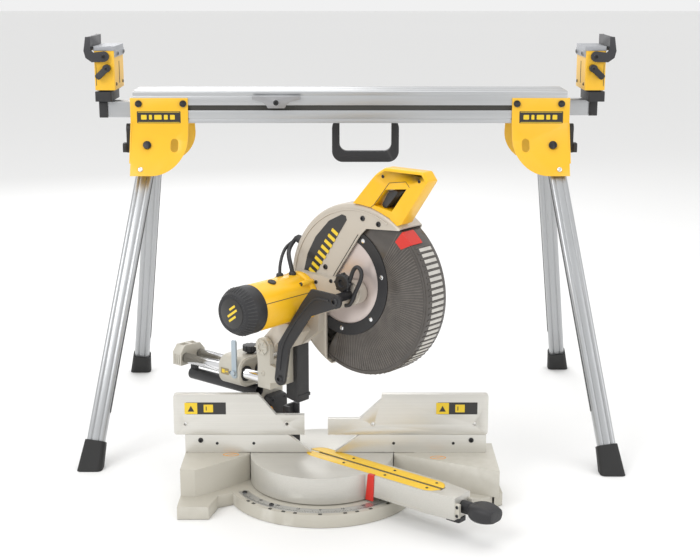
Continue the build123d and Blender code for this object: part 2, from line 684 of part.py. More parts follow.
DUST_N = 40.0
DUST_Z = 204.5
DUST_R = 13.0
DUST_BORE_R = 10.5
with BuildPart() as dust_tube:
    with BuildSketch(ACROSS.offset(-352)):
        with Locations((-DUST_N, DUST_Z)):
            Circle(DUST_R)
            Circle(DUST_BORE_R, mode=Mode.SUBTRACT)
    extrude(amount=208)
    with BuildSketch(ACROSS.offset(-352)):
        with Locations((-DUST_N, 226)):
            Rectangle(10, 20)
    extrude(amount=16)
    with BuildSketch(ACROSS.offset(-352)):
        with Locations((-DUST_N, DUST_Z)):
            Circle(DUST_BORE_R)
    extrude(amount=20, mode=Mode.SUBTRACT)
save(dust_tube.part, "dust_tube")

YOKE = (-97.0, -62.0)
with BuildPart() as yoke:
    with BuildSketch(SIDE.offset(20)):
        Polygon((YOKE[0], 236), (YOKE[1], 236), (YOKE[1], 300), (YOKE[0], 300), align=None)
    extrude(amount=72)
    for start in (20, 80):
        with BuildSketch(SIDE.offset(start)):
            with Locations(CHOP_PIVOT):
                Circle(20)
            Polygon((YOKE[0], 296), (YOKE[1], 296), (YOKE[1], 325), (-102, 325), align=None)
        extrude(amount=12)
    with BuildSketch(ACROSS.offset(YOKE[0])):
        with Locations(*[(-n, RAIL_Z) for n in RAIL_N]):
            Circle(RAIL_R + 0.02)
    extrude(amount=YOKE[1] - YOKE[0] - 8, mode=Mode.SUBTRACT)
    # lug below the guard link
    with BuildSketch(SIDE.offset(80)):
        Polygon((YOKE[1] - 2, 250), (-30, 258), (-16, 271), (-30, 284), (YOKE[1] - 2, 290),
                align=None)
    extrude(amount=12)
    # chop pin
    with BuildSketch(SIDE.offset(20)):
        with Locations(CHOP_PIVOT):
            Circle(8)
    extrude(amount=72)
save(yoke.part, "yoke")

# ================================================================ HEAD
CHOP_ARM = hypot(ARBOR[0] - CHOP_PIVOT[0], ARBOR[1] - CHOP_PIVOT[1])
chop_up = degrees(atan2(ARBOR[1] - CHOP_PIVOT[1], ARBOR[0] - CHOP_PIVOT[0]))
chop_down = degrees(atan2(
    CHOP_CENTRE_Z - CHOP_PIVOT[1], sqrt(CHOP_ARM**2 - (CHOP_CENTRE_Z - CHOP_PIVOT[1]) ** 2)))
CHOP_TRAVEL = chop_up - chop_down
GUARD_EDGE = 22.0                  # upper guard reaches this far below the arbor when lowered
edge_angle = 270 + CHOP_TRAVEL     # direction of that edge with the head raised
edge_point = polar(ARBOR, GUARD_EDGE, edge_angle)
EDGE_LINE = Plane(
    origin=SIDE.from_local_coords((edge_point[0], edge_point[1], 0)),
    x_dir=LEFTWARD,
    z_dir=SIDE.from_local_coords(polar((0, 0), 1, edge_angle)) - SIDE.origin)

with BuildPart() as upper_guard:
    with BuildSketch(SIDE.offset(GUARD_RIGHT)):
        with Locations(ARBOR):
            Circle(GUARD_R)
    extrude(amount=GUARD_LEFT - GUARD_RIGHT)
    fillet(upper_guard.edges().filter_by(GeomType.CIRCLE), 10)
    with BuildSketch(SIDE.offset(GUARD_RIGHT + GUARD_WALL)):
        with Locations(ARBOR):
            Circle(GUARD_R - GUARD_WALL)
    extrude(amount=GUARD_LEFT - GUARD_RIGHT - 2 * GUARD_WALL, mode=Mode.SUBTRACT)
    split(bisect_by=EDGE_LINE, keep=Keep.BOTTOM)
    # the left wall is cut back in front, where the lower guard shows
    with BuildSketch(SIDE.offset(GUARD_LEFT - GUARD_WALL - 0.1)):
        Polygon((31, 300), (31, 422), (36, 458), (119, 575), (136, 592), (300, 604), (340, 560),
                (340, 300), align=None)
    extrude(amount=GUARD_WALL + 0.2, mode=Mode.SUBTRACT)
    # belt case and motor flange on the left wall
    with BuildSketch(SIDE.offset(GUARD_LEFT - GUARD_WALL)):
        with Locations(MOTOR_AXIS):
            Circle(MOTOR_R + 3)
        with Locations(ARBOR):
            Circle(24)
        Polygon((MOTOR_AXIS[0] + 4, MOTOR_AXIS[1] + 50), (ARBOR[0] - 3, ARBOR[1] + 23),
                (ARBOR[0] + 3, ARBOR[1] - 23), (MOTOR_AXIS[0] + 9, MOTOR_AXIS[1] - 50), align=None)
    extrude(amount=18 + GUARD_WALL)
    # arm down to the chop pivot
    with BuildSketch(SIDE.offset(GUARD_LEFT - GUARD_WALL)):
        Polygon((-46, 345), (-22, 330), (24, 366), (30, 440), (-70, 420), align=None)
    extrude(amount=18 + GUARD_WALL)
    with BuildSketch(SIDE.offset(33.5)):
        with Locations(CHOP_PIVOT):
            Circle(19)
        Polygon((-95, 339), (-82, 325), (-66, 315), (-53.5, 337), (-22, 330), (4, 366), (-8, 380),
                (-50, 384), align=None)
    extrude(amount=45)
    with BuildSketch(SIDE.offset(30)):
        with Locations(CHOP_PIVOT):
            Circle(8 + RUNNING_GAP)
    extrude(amount=60, mode=Mode.SUBTRACT)
    # bore for the arbor and the boss that the lower guard turns on
    with BuildSketch(SIDE.offset(8)):
        with Locations(ARBOR):
            Circle(22)
    extrude(amount=10)
    with BuildSketch(SIDE.offset(4)):
        with Locations(ARBOR):
            Circle(10 + RUNNING_GAP)
    extrude(amount=28, mode=Mode.SUBTRACT)
    # seat for the armature shaft
    with BuildSketch(SIDE.offset(26)):
        with Locations(MOTOR_AXIS):
            Circle(6 + RUNNING_GAP)
    extrude(amount=14, mode=Mode.SUBTRACT)
save(upper_guard.part, "upper_guard")

HANDLE_N = (-12.0, 22.0)
with BuildPart() as grip_handle:
    with BuildSketch(SIDE.offset(HANDLE_N[0])):
        Polygon((104, 640), (166, 708), (182, 718), (276, 718), (288, 702), (226, 612),
                (212, 606), (196, 621), (150, 637), align=None)
        with Locations(ARBOR):
            Circle(GUARD_R + 0.1, mode=Mode.SUBTRACT)
        Polygon((157, 642), (186, 676), (238, 682), (202, 634), align=None, mode=Mode.SUBTRACT)
    extrude(amount=HANDLE_N[1] - HANDLE_N[0])
    fillet(grip_handle.edges().filter_by(lambda e: e.center().Z > 690), 6)
save(grip_handle.part, "grip_handle")

TRIGGER_N = (-5.0, 15.0)
with BuildPart() as trigger:
    with BuildSketch(SIDE.offset(TRIGGER_N[0])):
        with Locations((180, 645)):
            Circle(6.5)
        Polygon((174.5, 648), (186, 642), (212, 672), (206, 676), (190, 673), align=None)
    extrude(amount=TRIGGER_N[1] - TRIGGER_N[0])
save(trigger.part, "trigger")

MOTOR_N = (38.0, 186.0)
CAP_END_N = 236.0
with BuildPart() as motor_housing:
    with BuildSketch(SIDE.offset(MOTOR_N[0])):
        with Locations(MOTOR_AXIS):
            Circle(MOTOR_R)
            Circle(MOTOR_R - 4, mode=Mode.SUBTRACT)
    extrude(amount=MOTOR_N[1] - MOTOR_N[0])
    with BuildSketch(SIDE.offset(MOTOR_N[0])):
        with Locations(MOTOR_AXIS):
            with PolarLocations(MOTOR_R + 1, 4, start_angle=45):
                Circle(6)
            Circle(MOTOR_R - 4, mode=Mode.SUBTRACT)
    extrude(amount=34)
save(motor_housing.part, "motor_housing")

with BuildPart() as motor_cap:
    with BuildSketch(SIDE.offset(MOTOR_N[1])):
        with Locations(MOTOR_AXIS):
            Circle(MOTOR_R + 1)
    extrude(amount=30)
    with BuildSketch(SIDE.offset(MOTOR_N[1] + 30)):
        with Locations(MOTOR_AXIS):
            Circle(MOTOR_R + 1)
    extrude(amount=CAP_END_N - MOTOR_N[1] - 30, taper=28)
    with BuildSketch(SIDE.offset(MOTOR_N[1])):
        with Locations(MOTOR_AXIS):
            Circle(MOTOR_R - 5)
    extrude(amount=26, mode=Mode.SUBTRACT)
save(motor_cap.part, "motor_cap")

with BuildPart() as armature:
    with BuildSketch(SIDE.offset(27)):
        with Locations(MOTOR_AXIS):
            Circle(6)
    extrude(amount=180)
    with BuildSketch(SIDE.offset(64)):
        with Locations(MOTOR_AXIS):
            Circle(28)
    extrude(amount=90)
save(armature.part, "armature")

TEETH = 40
with BuildPart() as blade:
    with BuildSketch(SIDE.offset(-1.3)):
        with Locations(ARBOR):
            Circle(BLADE_R - 8)
            for i in range(TEETH):
                pitch = 360 / TEETH
                Polygon(
                    polar((0, 0), BLADE_R - 10, i * pitch), polar((0, 0), BLADE_R, i * pitch),
                    polar((0, 0), BLADE_R - 1, (i + 0.42) * pitch),
                    polar((0, 0), BLADE_R - 10, (i + 0.75) * pitch), align=None)
            Circle(10, mode=Mode.SUBTRACT)
    extrude(amount=2.6)
save(blade.part, "blade")

with BuildPart() as arbor:
    with BuildSketch(SIDE.offset(-16)):
        with Locations(ARBOR):
            Circle(10)
    extrude(amount=46)
    with BuildSketch(SIDE.offset(-5.3)):
        with Locations(ARBOR):
            Circle(22)
    extrude(amount=4)
    with BuildSketch(SIDE.offset(1.3)):
        with Locations(ARBOR):
            Circle(19)
    extrude(amount=4)
    with BuildSketch(SIDE.offset(-26)):
        with Locations(ARBOR):
            RegularPolygon(11, 6)
    extrude(amount=12)
save(arbor.part, "arbor")

# Lower guard: smoked shell open on the inside, with a pale hub plate in its left wall.
GUARD_SPAN = (-122.0, 88.0)
HUB = (72.0, 478.0)      # centre of the round window in the lower guard's walls
HUB_R = 92.0
LOWER_TOP = 598.0
LOWER_RIGHT = -50.0
LOWER_LEFT = 12.0


def sector(radius, start, end):
    """Corners of a wedge from the arbor that covers the given angles."""
    middle = (start + end) / 2
    far = 2.2 * radius
    return [
        ARBOR, polar(ARBOR, far, start), polar(ARBOR, far, (start + middle) / 2),
        polar(ARBOR, far, middle), polar(ARBOR, far, (end + middle) / 2), polar(ARBOR, far, end),
    ]


with BuildPart() as lower_guard:
    with BuildSketch(SIDE.offset(LOWER_RIGHT)):
        with Locations(ARBOR):
            Circle(LOWER_GUARD_R)
        Polygon(*sector(LOWER_GUARD_R, *GUARD_SPAN), align=None, mode=Mode.INTERSECT)
        with Locations((ARBOR[0], LOWER_TOP + 50)):
            Rectangle(400, 100, mode=Mode.SUBTRACT)
    extrude(amount=LOWER_LEFT - LOWER_RIGHT)
    with BuildSketch(SIDE.offset(LOWER_RIGHT + 3)):
        with Locations(ARBOR):
            Circle(LOWER_GUARD_R - 4)
    extrude(amount=LOWER_LEFT - LOWER_RIGHT - 5.5, mode=Mode.SUBTRACT)
    with BuildSketch(SIDE.offset(LOWER_RIGHT - 1)):
        with Locations(HUB):
            Circle(HUB_R)
    extrude(amount=LOWER_LEFT - LOWER_RIGHT + 2, mode=Mode.SUBTRACT)
save(lower_guard.part, "lower_guard")

with BuildPart() as hub_plate:
    with BuildSketch(SIDE.offset(LOWER_LEFT - 2.4)):
        with Locations(HUB):
            Circle(HUB_R)
        with Locations((25 - HUB_R, HUB[1])):
            Rectangle(2 * HUB_R, 2 * HUB_R, mode=Mode.SUBTRACT)
        with Locations(ARBOR):
            Circle(22.4, mode=Mode.SUBTRACT)
    extrude(amount=2.4)
save(hub_plate.part, "hub_plate")

# Guard link: cranked black arm from the yoke's lug up to the head.
LINK_N = (99.5, 105.5)
with BuildPart() as guard_link:
    with BuildSketch(SIDE.offset(LINK_N[0])):
        with Locations((-22, 271), (128, 458)):
            Circle(14)
        Polygon((-36, 270), (-8, 269), (4, 338), (62, 417), (128, 444), (128, 472), (66, 474),
                (42, 444), (-25, 347), align=None)
    extrude(amount=LINK_N[1] - LINK_N[0])
    # stand-off that carries the link on the belt case
    with BuildSketch(SIDE.offset(GUARD_LEFT + 18)):
        with Locations((112, 458)):
            Circle(9)
    extrude(amount=LINK_N[0] - GUARD_LEFT - 18)
save(guard_link.part, "guard_link")

# Black motor lead, from the motor up behind the guard casting.
with BuildPart() as motor_lead:
    with BuildLine(SIDE) as lead_path:
        Spline((-25, 485, 60), (-38, 510, 54), (-61, 527, 29), (-61, 548, 6))
    with BuildSketch(lead_path.line ^ 0):
        Circle(4.5)
    sweep()
save(motor_lead.part, "motor_lead")
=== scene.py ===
import json
from math import atan2, cos, hypot, pi, radians, sin, sqrt

import bmesh
import bpy
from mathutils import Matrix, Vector


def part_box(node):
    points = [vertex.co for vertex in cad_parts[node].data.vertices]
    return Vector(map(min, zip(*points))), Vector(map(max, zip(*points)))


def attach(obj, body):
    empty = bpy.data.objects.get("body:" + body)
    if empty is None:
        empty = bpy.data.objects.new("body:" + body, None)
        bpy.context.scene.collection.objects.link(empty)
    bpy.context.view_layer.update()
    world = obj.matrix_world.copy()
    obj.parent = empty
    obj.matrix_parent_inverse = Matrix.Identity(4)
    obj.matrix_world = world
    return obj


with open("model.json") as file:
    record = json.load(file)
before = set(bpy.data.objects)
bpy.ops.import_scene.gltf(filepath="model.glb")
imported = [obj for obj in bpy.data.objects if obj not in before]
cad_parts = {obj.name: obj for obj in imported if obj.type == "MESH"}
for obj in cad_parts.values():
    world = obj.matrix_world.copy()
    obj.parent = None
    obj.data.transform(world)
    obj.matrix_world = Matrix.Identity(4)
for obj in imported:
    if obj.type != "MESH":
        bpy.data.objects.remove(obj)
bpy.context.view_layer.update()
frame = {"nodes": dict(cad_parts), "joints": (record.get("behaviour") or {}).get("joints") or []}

# ---------------------------------------------------------------- places taken from the frame
JOINTS = {joint["name"]: joint for joint in frame["joints"]}
PIVOT = Vector(JOINTS["mitre_turn"]["pos_m"])
LEFTWARD = Vector(JOINTS["chop"]["axis"])
AHEAD = -Vector(JOINTS["rail_slide"]["axis"])
UP = Vector((0, 0, 1))
SIDES = (("left", -1), ("right", 1))
ROWS = (("front", -1), ("rear", 1))


def saw_point(ahead, leftward, height):
    """A point of the saw: along its arm, to the left of the blade plane, above the floor."""
    foot = Vector((PIVOT.x, PIVOT.y, 0))
    return foot + AHEAD * ahead + LEFTWARD * leftward + UP * height


def saw_place(name):
    """A joint's (along the arm, to the left, height)."""
    point = Vector(JOINTS[name]["pos_m"])
    offset = point - PIVOT
    return offset.dot(AHEAD), offset.dot(LEFTWARD), point.z


ARBOR = saw_place("blade_spin")
MOTOR = saw_place("armature_spin")
beam_low, beam_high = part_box("beam")
STAND_Y = (beam_low.y + beam_high.y) / 2


class Face:
    """A flat drawing surface: an origin, two directions along it and its outward normal."""

    def __init__(self, origin, right, up):
        self.origin = Vector(origin)
        self.right = Vector(right)
        self.up = Vector(up)
        self.normal = self.right.cross(self.up)

    def at(self, x, y, out=0.0):
        return self.origin + self.right * x + self.up * y + self.normal * out


def side_face(leftward):
    """Faces left from the saw: x along the arm, y up."""
    origin = saw_point(0, leftward, 0)
    return Face(origin, AHEAD, UP)


def cross_face(ahead):
    """Faces ahead along the arm: x to the right, y up."""
    return Face(saw_point(ahead, 0, 0), -LEFTWARD, UP)


def arm_face(height):
    """Faces up: x along the arm, y to its left."""
    return Face(saw_point(0, 0, height), AHEAD, LEFTWARD)


# ---------------------------------------------------------------- materials
def material(name, colour, rough=0.5, metal=0.0, tint=0.06, grain=0.0, bump=0.0, streak=None,
             wear=None, coat=0.0, spread=0.12, blotch=9.0):
    """Procedural finish: uneven tint and roughness, a grain or brushed bump and worn edges."""
    made = bpy.data.materials.new(name)
    made.use_nodes = True
    nodes, links = made.node_tree.nodes, made.node_tree.links
    shader = nodes["Principled BSDF"]
    shader.inputs["Metallic"].default_value = metal
    shader.inputs["Coat Weight"].default_value = coat
    place = nodes.new("ShaderNodeTexCoord")

    def noise(scale, detail, stretch=None):
        texture = nodes.new("ShaderNodeTexNoise")
        texture.inputs["Scale"].default_value = scale
        texture.inputs["Detail"].default_value = detail
        if stretch is None:
            links.new(place.outputs["Object"], texture.inputs["Vector"])
        else:
            mapping = nodes.new("ShaderNodeMapping")
            mapping.inputs["Scale"].default_value = stretch
            links.new(place.outputs["Object"], mapping.inputs["Vector"])
            links.new(mapping.outputs["Vector"], texture.inputs["Vector"])
        return texture

    patches = noise(blotch, 4.0)
    blend = nodes.new("ShaderNodeMix")
    blend.data_type = "RGBA"
    blend.inputs["A"].default_value = (*[c * (1 - tint) for c in colour], 1)
    blend.inputs["B"].default_value = (*[min(1.0, c * (1 + tint)) for c in colour], 1)
    links.new(patches.outputs["Fac"], blend.inputs["Factor"])
    result = blend.outputs["Result"]
    fine = noise(1.0, 3.0, streak) if streak else noise(grain or 400.0, 2.0)
    if streak:
        brushed = nodes.new("ShaderNodeMix")
        brushed.data_type = "RGBA"
        brushed.blend_type = "MULTIPLY"
        shade = nodes.new("ShaderNodeMapRange")
        shade.inputs["To Min"].default_value = 0.80
        shade.inputs["To Max"].default_value = 1.12
        links.new(fine.outputs["Fac"], shade.inputs["Value"])
        brushed.inputs["Factor"].default_value = 0.55
        links.new(result, brushed.inputs["A"])
        links.new(shade.outputs["Result"], brushed.inputs["B"])
        result = brushed.outputs["Result"]
    if wear:
        edge = nodes.new("ShaderNodeNewGeometry")
        ramp = nodes.new("ShaderNodeMapRange")
        ramp.inputs["From Min"].default_value = 0.53
        ramp.inputs["From Max"].default_value = 0.62
        scuffs = noise(60.0, 5.0)
        worn = nodes.new("ShaderNodeMath")
        worn.operation = "MULTIPLY"
        links.new(edge.outputs["Pointiness"], ramp.inputs["Value"])
        links.new(ramp.outputs["Result"], worn.inputs[0])
        links.new(scuffs.outputs["Fac"], worn.inputs[1])
        rub = nodes.new("ShaderNodeMix")
        rub.data_type = "RGBA"
        rub.inputs["B"].default_value = (*wear, 1)
        links.new(worn.outputs["Value"], rub.inputs["Factor"])
        links.new(result, rub.inputs["A"])
        result = rub.outputs["Result"]
    links.new(result, shader.inputs["Base Color"])
    uneven = nodes.new("ShaderNodeMapRange")
    uneven.inputs["To Min"].default_value = max(0.03, rough - spread / 2)
    uneven.inputs["To Max"].default_value = min(1.0, rough + spread / 2)
    smears = noise(28.0, 5.0)
    links.new(smears.outputs["Fac"], uneven.inputs["Value"])
    links.new(uneven.outputs["Result"], shader.inputs["Roughness"])
    relief = nodes.new("ShaderNodeBump")
    relief.inputs["Strength"].default_value = bump
    relief.inputs["Distance"].default_value = 0.0006
    links.new(fine.outputs["Fac"], relief.inputs["Height"])
    links.new(relief.outputs["Normal"], shader.inputs["Normal"])
    return made


ALONG_X = (3.0, 900.0, 900.0)
ALONG_Z = (900.0, 900.0, 3.0)
FINISH = {
    "beam": material("extruded_beam", (0.50, 0.51, 0.52), 0.36, 0.85, 0.03, bump=0.10, streak=ALONG_X),
    "leg": material("extruded_leg", (0.47, 0.48, 0.49), 0.34, 0.85, 0.04, bump=0.10, streak=ALONG_Z),
    "tube": material("extruded_tube", (0.45, 0.46, 0.47), 0.38, 0.85, 0.04, bump=0.1, streak=ALONG_X),
    "yellow": material("yellow_powder_coat", (0.84, 0.47, 0.010), 0.42, 0.0, 0.05, 700, 0.12,
                       wear=(0.93, 0.72, 0.25), coat=0.12),
    "motor": material("yellow_moulding", (0.86, 0.47, 0.004), 0.34, 0.0, 0.05, 900, 0.10,
                      wear=(0.96, 0.70, 0.12), coat=0.1),
    "black": material("black_moulding", (0.018, 0.018, 0.020), 0.48, 0.0, 0.15, 1200, 0.30,
                      wear=(0.06, 0.06, 0.06)),
    "bolt": material("black_oxide", (0.020, 0.020, 0.022), 0.34, 0.5, 0.15, 500, 0.10,
                     wear=(0.20, 0.20, 0.20)),
    "rubber": material("rubber", (0.016, 0.016, 0.016), 0.68, 0.0, 0.2, 800, 0.35,
                       wear=(0.07, 0.07, 0.07)),
    "clamp": material("cast_clamp", (0.36, 0.36, 0.37), 0.36, 0.7, 0.06, 300, 0.25),
    "cap": material("grey_cap", (0.34, 0.35, 0.37), 0.45, 0.3, 0.08, 500, 0.15,
                    wear=(0.55, 0.56, 0.57)),
    "stop": material("dark_grey_stop", (0.030, 0.030, 0.034), 0.48, 0.0, 0.12, 900, 0.25,
                     wear=(0.16, 0.16, 0.17)),
    "base": material("beige_casting", (0.50, 0.475, 0.41), 0.44, 0.15, 0.05, 260, 0.22,
                     wear=(0.66, 0.64, 0.58)),
    "guard": material("beige_guard_casting", (0.52, 0.47, 0.40), 0.40, 0.2, 0.06, 240, 0.20,
                      wear=(0.68, 0.64, 0.58), coat=0.05),
    "table": material("machined_table", (0.60, 0.585, 0.54), 0.40, 0.45, 0.02, bump=0.04,
                      streak=(4.0, 700.0, 700.0)),
    "fence": material("machined_fence", (0.68, 0.665, 0.62), 0.33, 0.55, 0.04, bump=0.08,
                      streak=ALONG_X),
    "kerf": material("yellow_kerf_plate", (0.84, 0.53, 0.02), 0.42, 0.0, 0.06, 500, 0.15,
                     wear=(0.9, 0.7, 0.3)),
    "red": material("red_moulding", (0.62, 0.022, 0.012), 0.36, 0.0, 0.08, 700, 0.12, coat=0.15),
    "strap": material("blue_grey_strap", (0.42, 0.49, 0.54), 0.32, 0.6, 0.06, 400, 0.10),
    "orange": material("orange_moulding", (0.80, 0.33, 0.012), 0.38, 0.0, 0.10, 600, 0.15, coat=0.1),
    "chrome": material("polished_rail", (0.80, 0.80, 0.81), 0.13, 1.0, 0.03, 300, 0.03, spread=0.08),
    "smoked": material("smoked_guard_moulding", (0.060, 0.052, 0.046), 0.30, 0.0, 0.30, 160, 0.25,
                       wear=(0.16, 0.14, 0.12), coat=0.25, blotch=30.0),
    "slot": material("frosted_slot", (0.56, 0.54, 0.50), 0.35, 0.1, 0.20, 300, 0.15, blotch=60.0),
    "hub": material("pale_hub", (0.64, 0.555, 0.52), 0.33, 0.45, 0.04, 200, 0.08, coat=0.1),
    "steel": material("ground_steel", (0.62, 0.62, 0.63), 0.26, 1.0, 0.06, bump=0.15,
                      streak=(900.0, 900.0, 6.0)),
    "rivet": material("bright_rivet", (0.78, 0.78, 0.78), 0.22, 0.9, 0.05, 500, 0.05),
    "label": material("dark_label", (0.020, 0.019, 0.018), 0.35, 0.0, 0.10, 900, 0.05, coat=0.2),
    "label_yellow": material("label_ink", (0.80, 0.56, 0.02), 0.38, 0.0, 0.06, 900, 0.05, coat=0.2),
    "badge": material("bronze_badge", (0.30, 0.24, 0.13), 0.35, 0.4, 0.10, 900, 0.1),
    "scale": material("etched_scale", (0.60, 0.60, 0.59), 0.30, 0.8, 0.05, 500, 0.06),
    "pocket": material("shadowed_pocket", (0.05, 0.048, 0.042), 0.7, 0.0, 0.2, 300, 0.2),
}


# ---------------------------------------------------------------- mesh helpers
def finish_piece(name, mesh_data, finish, body, bevel=0.0, smooth=True):
    """Turn a bmesh into a named piece with its finish that rides on a body."""
    bmesh.ops.recalc_face_normals(mesh_data, faces=mesh_data.faces)
    mesh = bpy.data.meshes.new(name)
    mesh_data.to_mesh(mesh)
    mesh_data.free()
    piece = bpy.data.objects.new(name, mesh)
    bpy.context.scene.collection.objects.link(piece)
    mesh.materials.append(FINISH[finish])
    soften(piece, bevel, smooth)
    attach(piece, body)
    return piece


def soften(piece, bevel, smooth=True):
    """Round the sharp edges a little and shade the rest smoothly."""
    if bevel:
        modifier = piece.modifiers.new("edge_round", "BEVEL")
        modifier.width = bevel
        modifier.segments = 2
        modifier.limit_method = "ANGLE"
        modifier.angle_limit = radians(38)
        modifier.harden_normals = True
    if smooth:
        piece.data.polygons.foreach_set("use_smooth", [True] * len(piece.data.polygons))
        piece.data.set_sharp_from_angle(angle=radians(38))


def add_prism(mesh_data, face, outline, low, high, scale_top=1.0):
    """Closed prism of an outline on a face, between two distances out of it."""
    middle = [sum(p[i] for p in outline) / len(outline) for i in (0, 1)]
    bottom = [mesh_data.verts.new(face.at(x, y, low)) for x, y in outline]
    top = [
        mesh_data.verts.new(face.at(
            middle[0] + (x - middle[0]) * scale_top, middle[1] + (y - middle[1]) * scale_top, high))
        for x, y in outline
    ]
    mesh_data.faces.new(bottom[::-1])
    mesh_data.faces.new(top)
    count = len(outline)
    for i in range(count):
        j = (i + 1) % count
        mesh_data.faces.new((bottom[i], bottom[j], top[j], top[i]))


def add_bar(mesh_data, face, start, end, width, low, high):
    """Straight bar between two points of a face."""
    across, rise = end[0] - start[0], end[1] - start[1]
    outline = box_outline((start[0] + end[0]) / 2, (start[1] + end[1]) / 2, hypot(across, rise),
                          width, 0, atan2(rise, across))
    add_prism(mesh_data, face, outline, low, high)


def prism(name, face, outline, low, high, finish, body, bevel=0.0005, scale_top=1.0):
    mesh_data = bmesh.new()
    add_prism(mesh_data, face, outline, low, high, scale_top)
    return finish_piece(name, mesh_data, finish, body, bevel)


def round_outline(x, y, radius, count=32, start=0.0):
    """A circle's corners."""
    return [(x + radius * cos(start + 2 * pi * i / count), y + radius * sin(start + 2 * pi * i / count))
            for i in range(count)]


def box_outline(x, y, width, height, radius=0.0, tilt=0.0):
    """A rectangle's corners, rounded and tilted about its middle."""
    points = []
    steps = 5 if radius else 1
    for quarter, (sx, sy) in enumerate(((1, 1), (-1, 1), (-1, -1), (1, -1))):
        for i in range(steps):
            angle = pi / 2 * (quarter + (i / (steps - 1) if steps > 1 else 0.5))
            px = sx * (width / 2 - radius) + (radius * cos(angle) if radius else 0)
            py = sy * (height / 2 - radius) + (radius * sin(angle) if radius else 0)
            points.append((x + px * cos(tilt) - py * sin(tilt), y + px * sin(tilt) + py * cos(tilt)))
    return points


def arc(x, y, radius, start, end, count=24):
    """Points along an arc, angles in degrees."""
    return [(x + radius * cos(radians(start + (end - start) * i / count)),
             y + radius * sin(radians(start + (end - start) * i / count))) for i in range(count + 1)]


def add_turned(mesh_data, centre, axis, profile, count=40):
    """A solid of revolution: profile is (radius, distance along the axis), closed on the axis."""
    side = axis.orthogonal().normalized()
    other = axis.cross(side)
    rings = []
    for radius, along in profile:
        rings.append([
            mesh_data.verts.new(
                centre + axis * along
                + (side * cos(2 * pi * i / count) + other * sin(2 * pi * i / count)) * radius)
            for i in range(count)
        ])
    for a, b in zip(rings, rings[1:]):
        for i in range(count):
            j = (i + 1) % count
            mesh_data.faces.new((a[i], a[j], b[j], b[i]))
    mesh_data.faces.new(rings[0][::-1])
    mesh_data.faces.new(rings[-1])


def add_screw(mesh_data, centre, axis, radius, height, socket=True):
    """Round-headed screw, with a round recess ring in its crown when socket is set."""
    profile = [(radius, 0), (radius, height * 0.45), (radius * 0.86, height * 0.85),
               (radius * 0.62, height)]
    if socket:
        profile += [(radius * 0.52, height), (radius * 0.46, height * 0.35)]
    add_turned(mesh_data, centre, axis, profile, 12 if radius < 0.003 else 24)


def screws(name, places, axis, radius, height, finish, body):
    """Several like screws as one piece."""
    mesh_data = bmesh.new()
    for place in places:
        add_screw(mesh_data, place, axis, radius, height)
    return finish_piece(name, mesh_data, finish, body)


def add_tube(mesh_data, points, radius, count=12):
    """Round bar along a line of points."""
    rings = []
    side = None
    for i, point in enumerate(points):
        ahead = (points[min(i + 1, len(points) - 1)] - points[max(i - 1, 0)]).normalized()
        side = ahead.orthogonal() if side is None else side - ahead * side.dot(ahead)
        side.normalize()
        other = ahead.cross(side)
        rings.append([
            mesh_data.verts.new(
                point + (side * cos(2 * pi * k / count) + other * sin(2 * pi * k / count)) * radius)
            for k in range(count)
        ])
    for a, b in zip(rings, rings[1:]):
        for i in range(count):
            j = (i + 1) % count
            mesh_data.faces.new((a[i], a[j], b[j], b[i]))
    mesh_data.faces.new(rings[0][::-1])
    mesh_data.faces.new(rings[-1])


def curve_points(points, steps=10):
    """Smooth line through given points."""
    ends = [points[0] * 2 - points[1], *points, points[-1] * 2 - points[-2]]
    line = []
    for a, b, c, d in zip(ends, ends[1:], ends[2:], ends[3:]):
        for i in range(steps):
            t = i / steps
            line.append(0.5 * (2 * b + (c - a) * t + (2 * a - 5 * b + 4 * c - d) * t ** 2
                               + (3 * b - a - 3 * c + d) * t ** 3))
    return line + [points[-1]]


def ring_piece(name, face, centre, inner, outer, span, low, high, finish, body, bevel=0.0006):
    """Band between two radii over a span of angles."""
    x, y = centre
    outline = arc(x, y, outer, *span, 48) + arc(x, y, inner, span[1], span[0], 48)
    mesh_data = bmesh.new()
    half = len(outline) // 2
    layers = [[mesh_data.verts.new(face.at(px, py, out)) for px, py in outline] for out in (low, high)]
    count = len(outline)
    for i in range(half - 1):
        for layer in layers:
            mesh_data.faces.new((layer[i], layer[i + 1], layer[count - 2 - i], layer[count - 1 - i]))
    for i in range(count):
        j = (i + 1) % count
        mesh_data.faces.new((layers[0][i], layers[0][j], layers[1][j], layers[1][i]))
    return finish_piece(name, mesh_data, finish, body, bevel)


# ---------------------------------------------------------------- camera, floor and lights
CAMERA_BACK = 3.241          # from the beam's centre
CAMERA_HEIGHT = 1.102
CAMERA_DOWN = 13.13          # degrees
FOCAL = 69.7
camera_data = bpy.data.cameras.new("camera")
camera_data.lens = FOCAL
camera_data.sensor_width = 36
camera = bpy.data.objects.new("camera", camera_data)
camera.location = (0, STAND_Y - CAMERA_BACK, CAMERA_HEIGHT)
camera.rotation_euler = (radians(90 - CAMERA_DOWN), 0, 0)
bpy.context.scene.collection.objects.link(camera)
bpy.context.scene.camera = camera
bpy.context.scene.view_settings.view_transform = "Standard"


def floor_material():
    made = bpy.data.materials.new("pale_floor")
    made.use_nodes = True
    nodes, links = made.node_tree.nodes, made.node_tree.links
    shader = nodes["Principled BSDF"]
    texture = nodes.new("ShaderNodeTexNoise")
    texture.inputs["Scale"].default_value = 3.0
    shade = nodes.new("ShaderNodeMix")
    shade.data_type = "RGBA"
    shade.inputs["A"].default_value = (0.86, 0.86, 0.855, 1)
    shade.inputs["B"].default_value = (0.89, 0.89, 0.885, 1)
    links.new(texture.outputs["Fac"], shade.inputs["Factor"])
    links.new(shade.outputs["Result"], shader.inputs["Base Color"])
    shader.inputs["Roughness"].default_value = 0.8
    return made


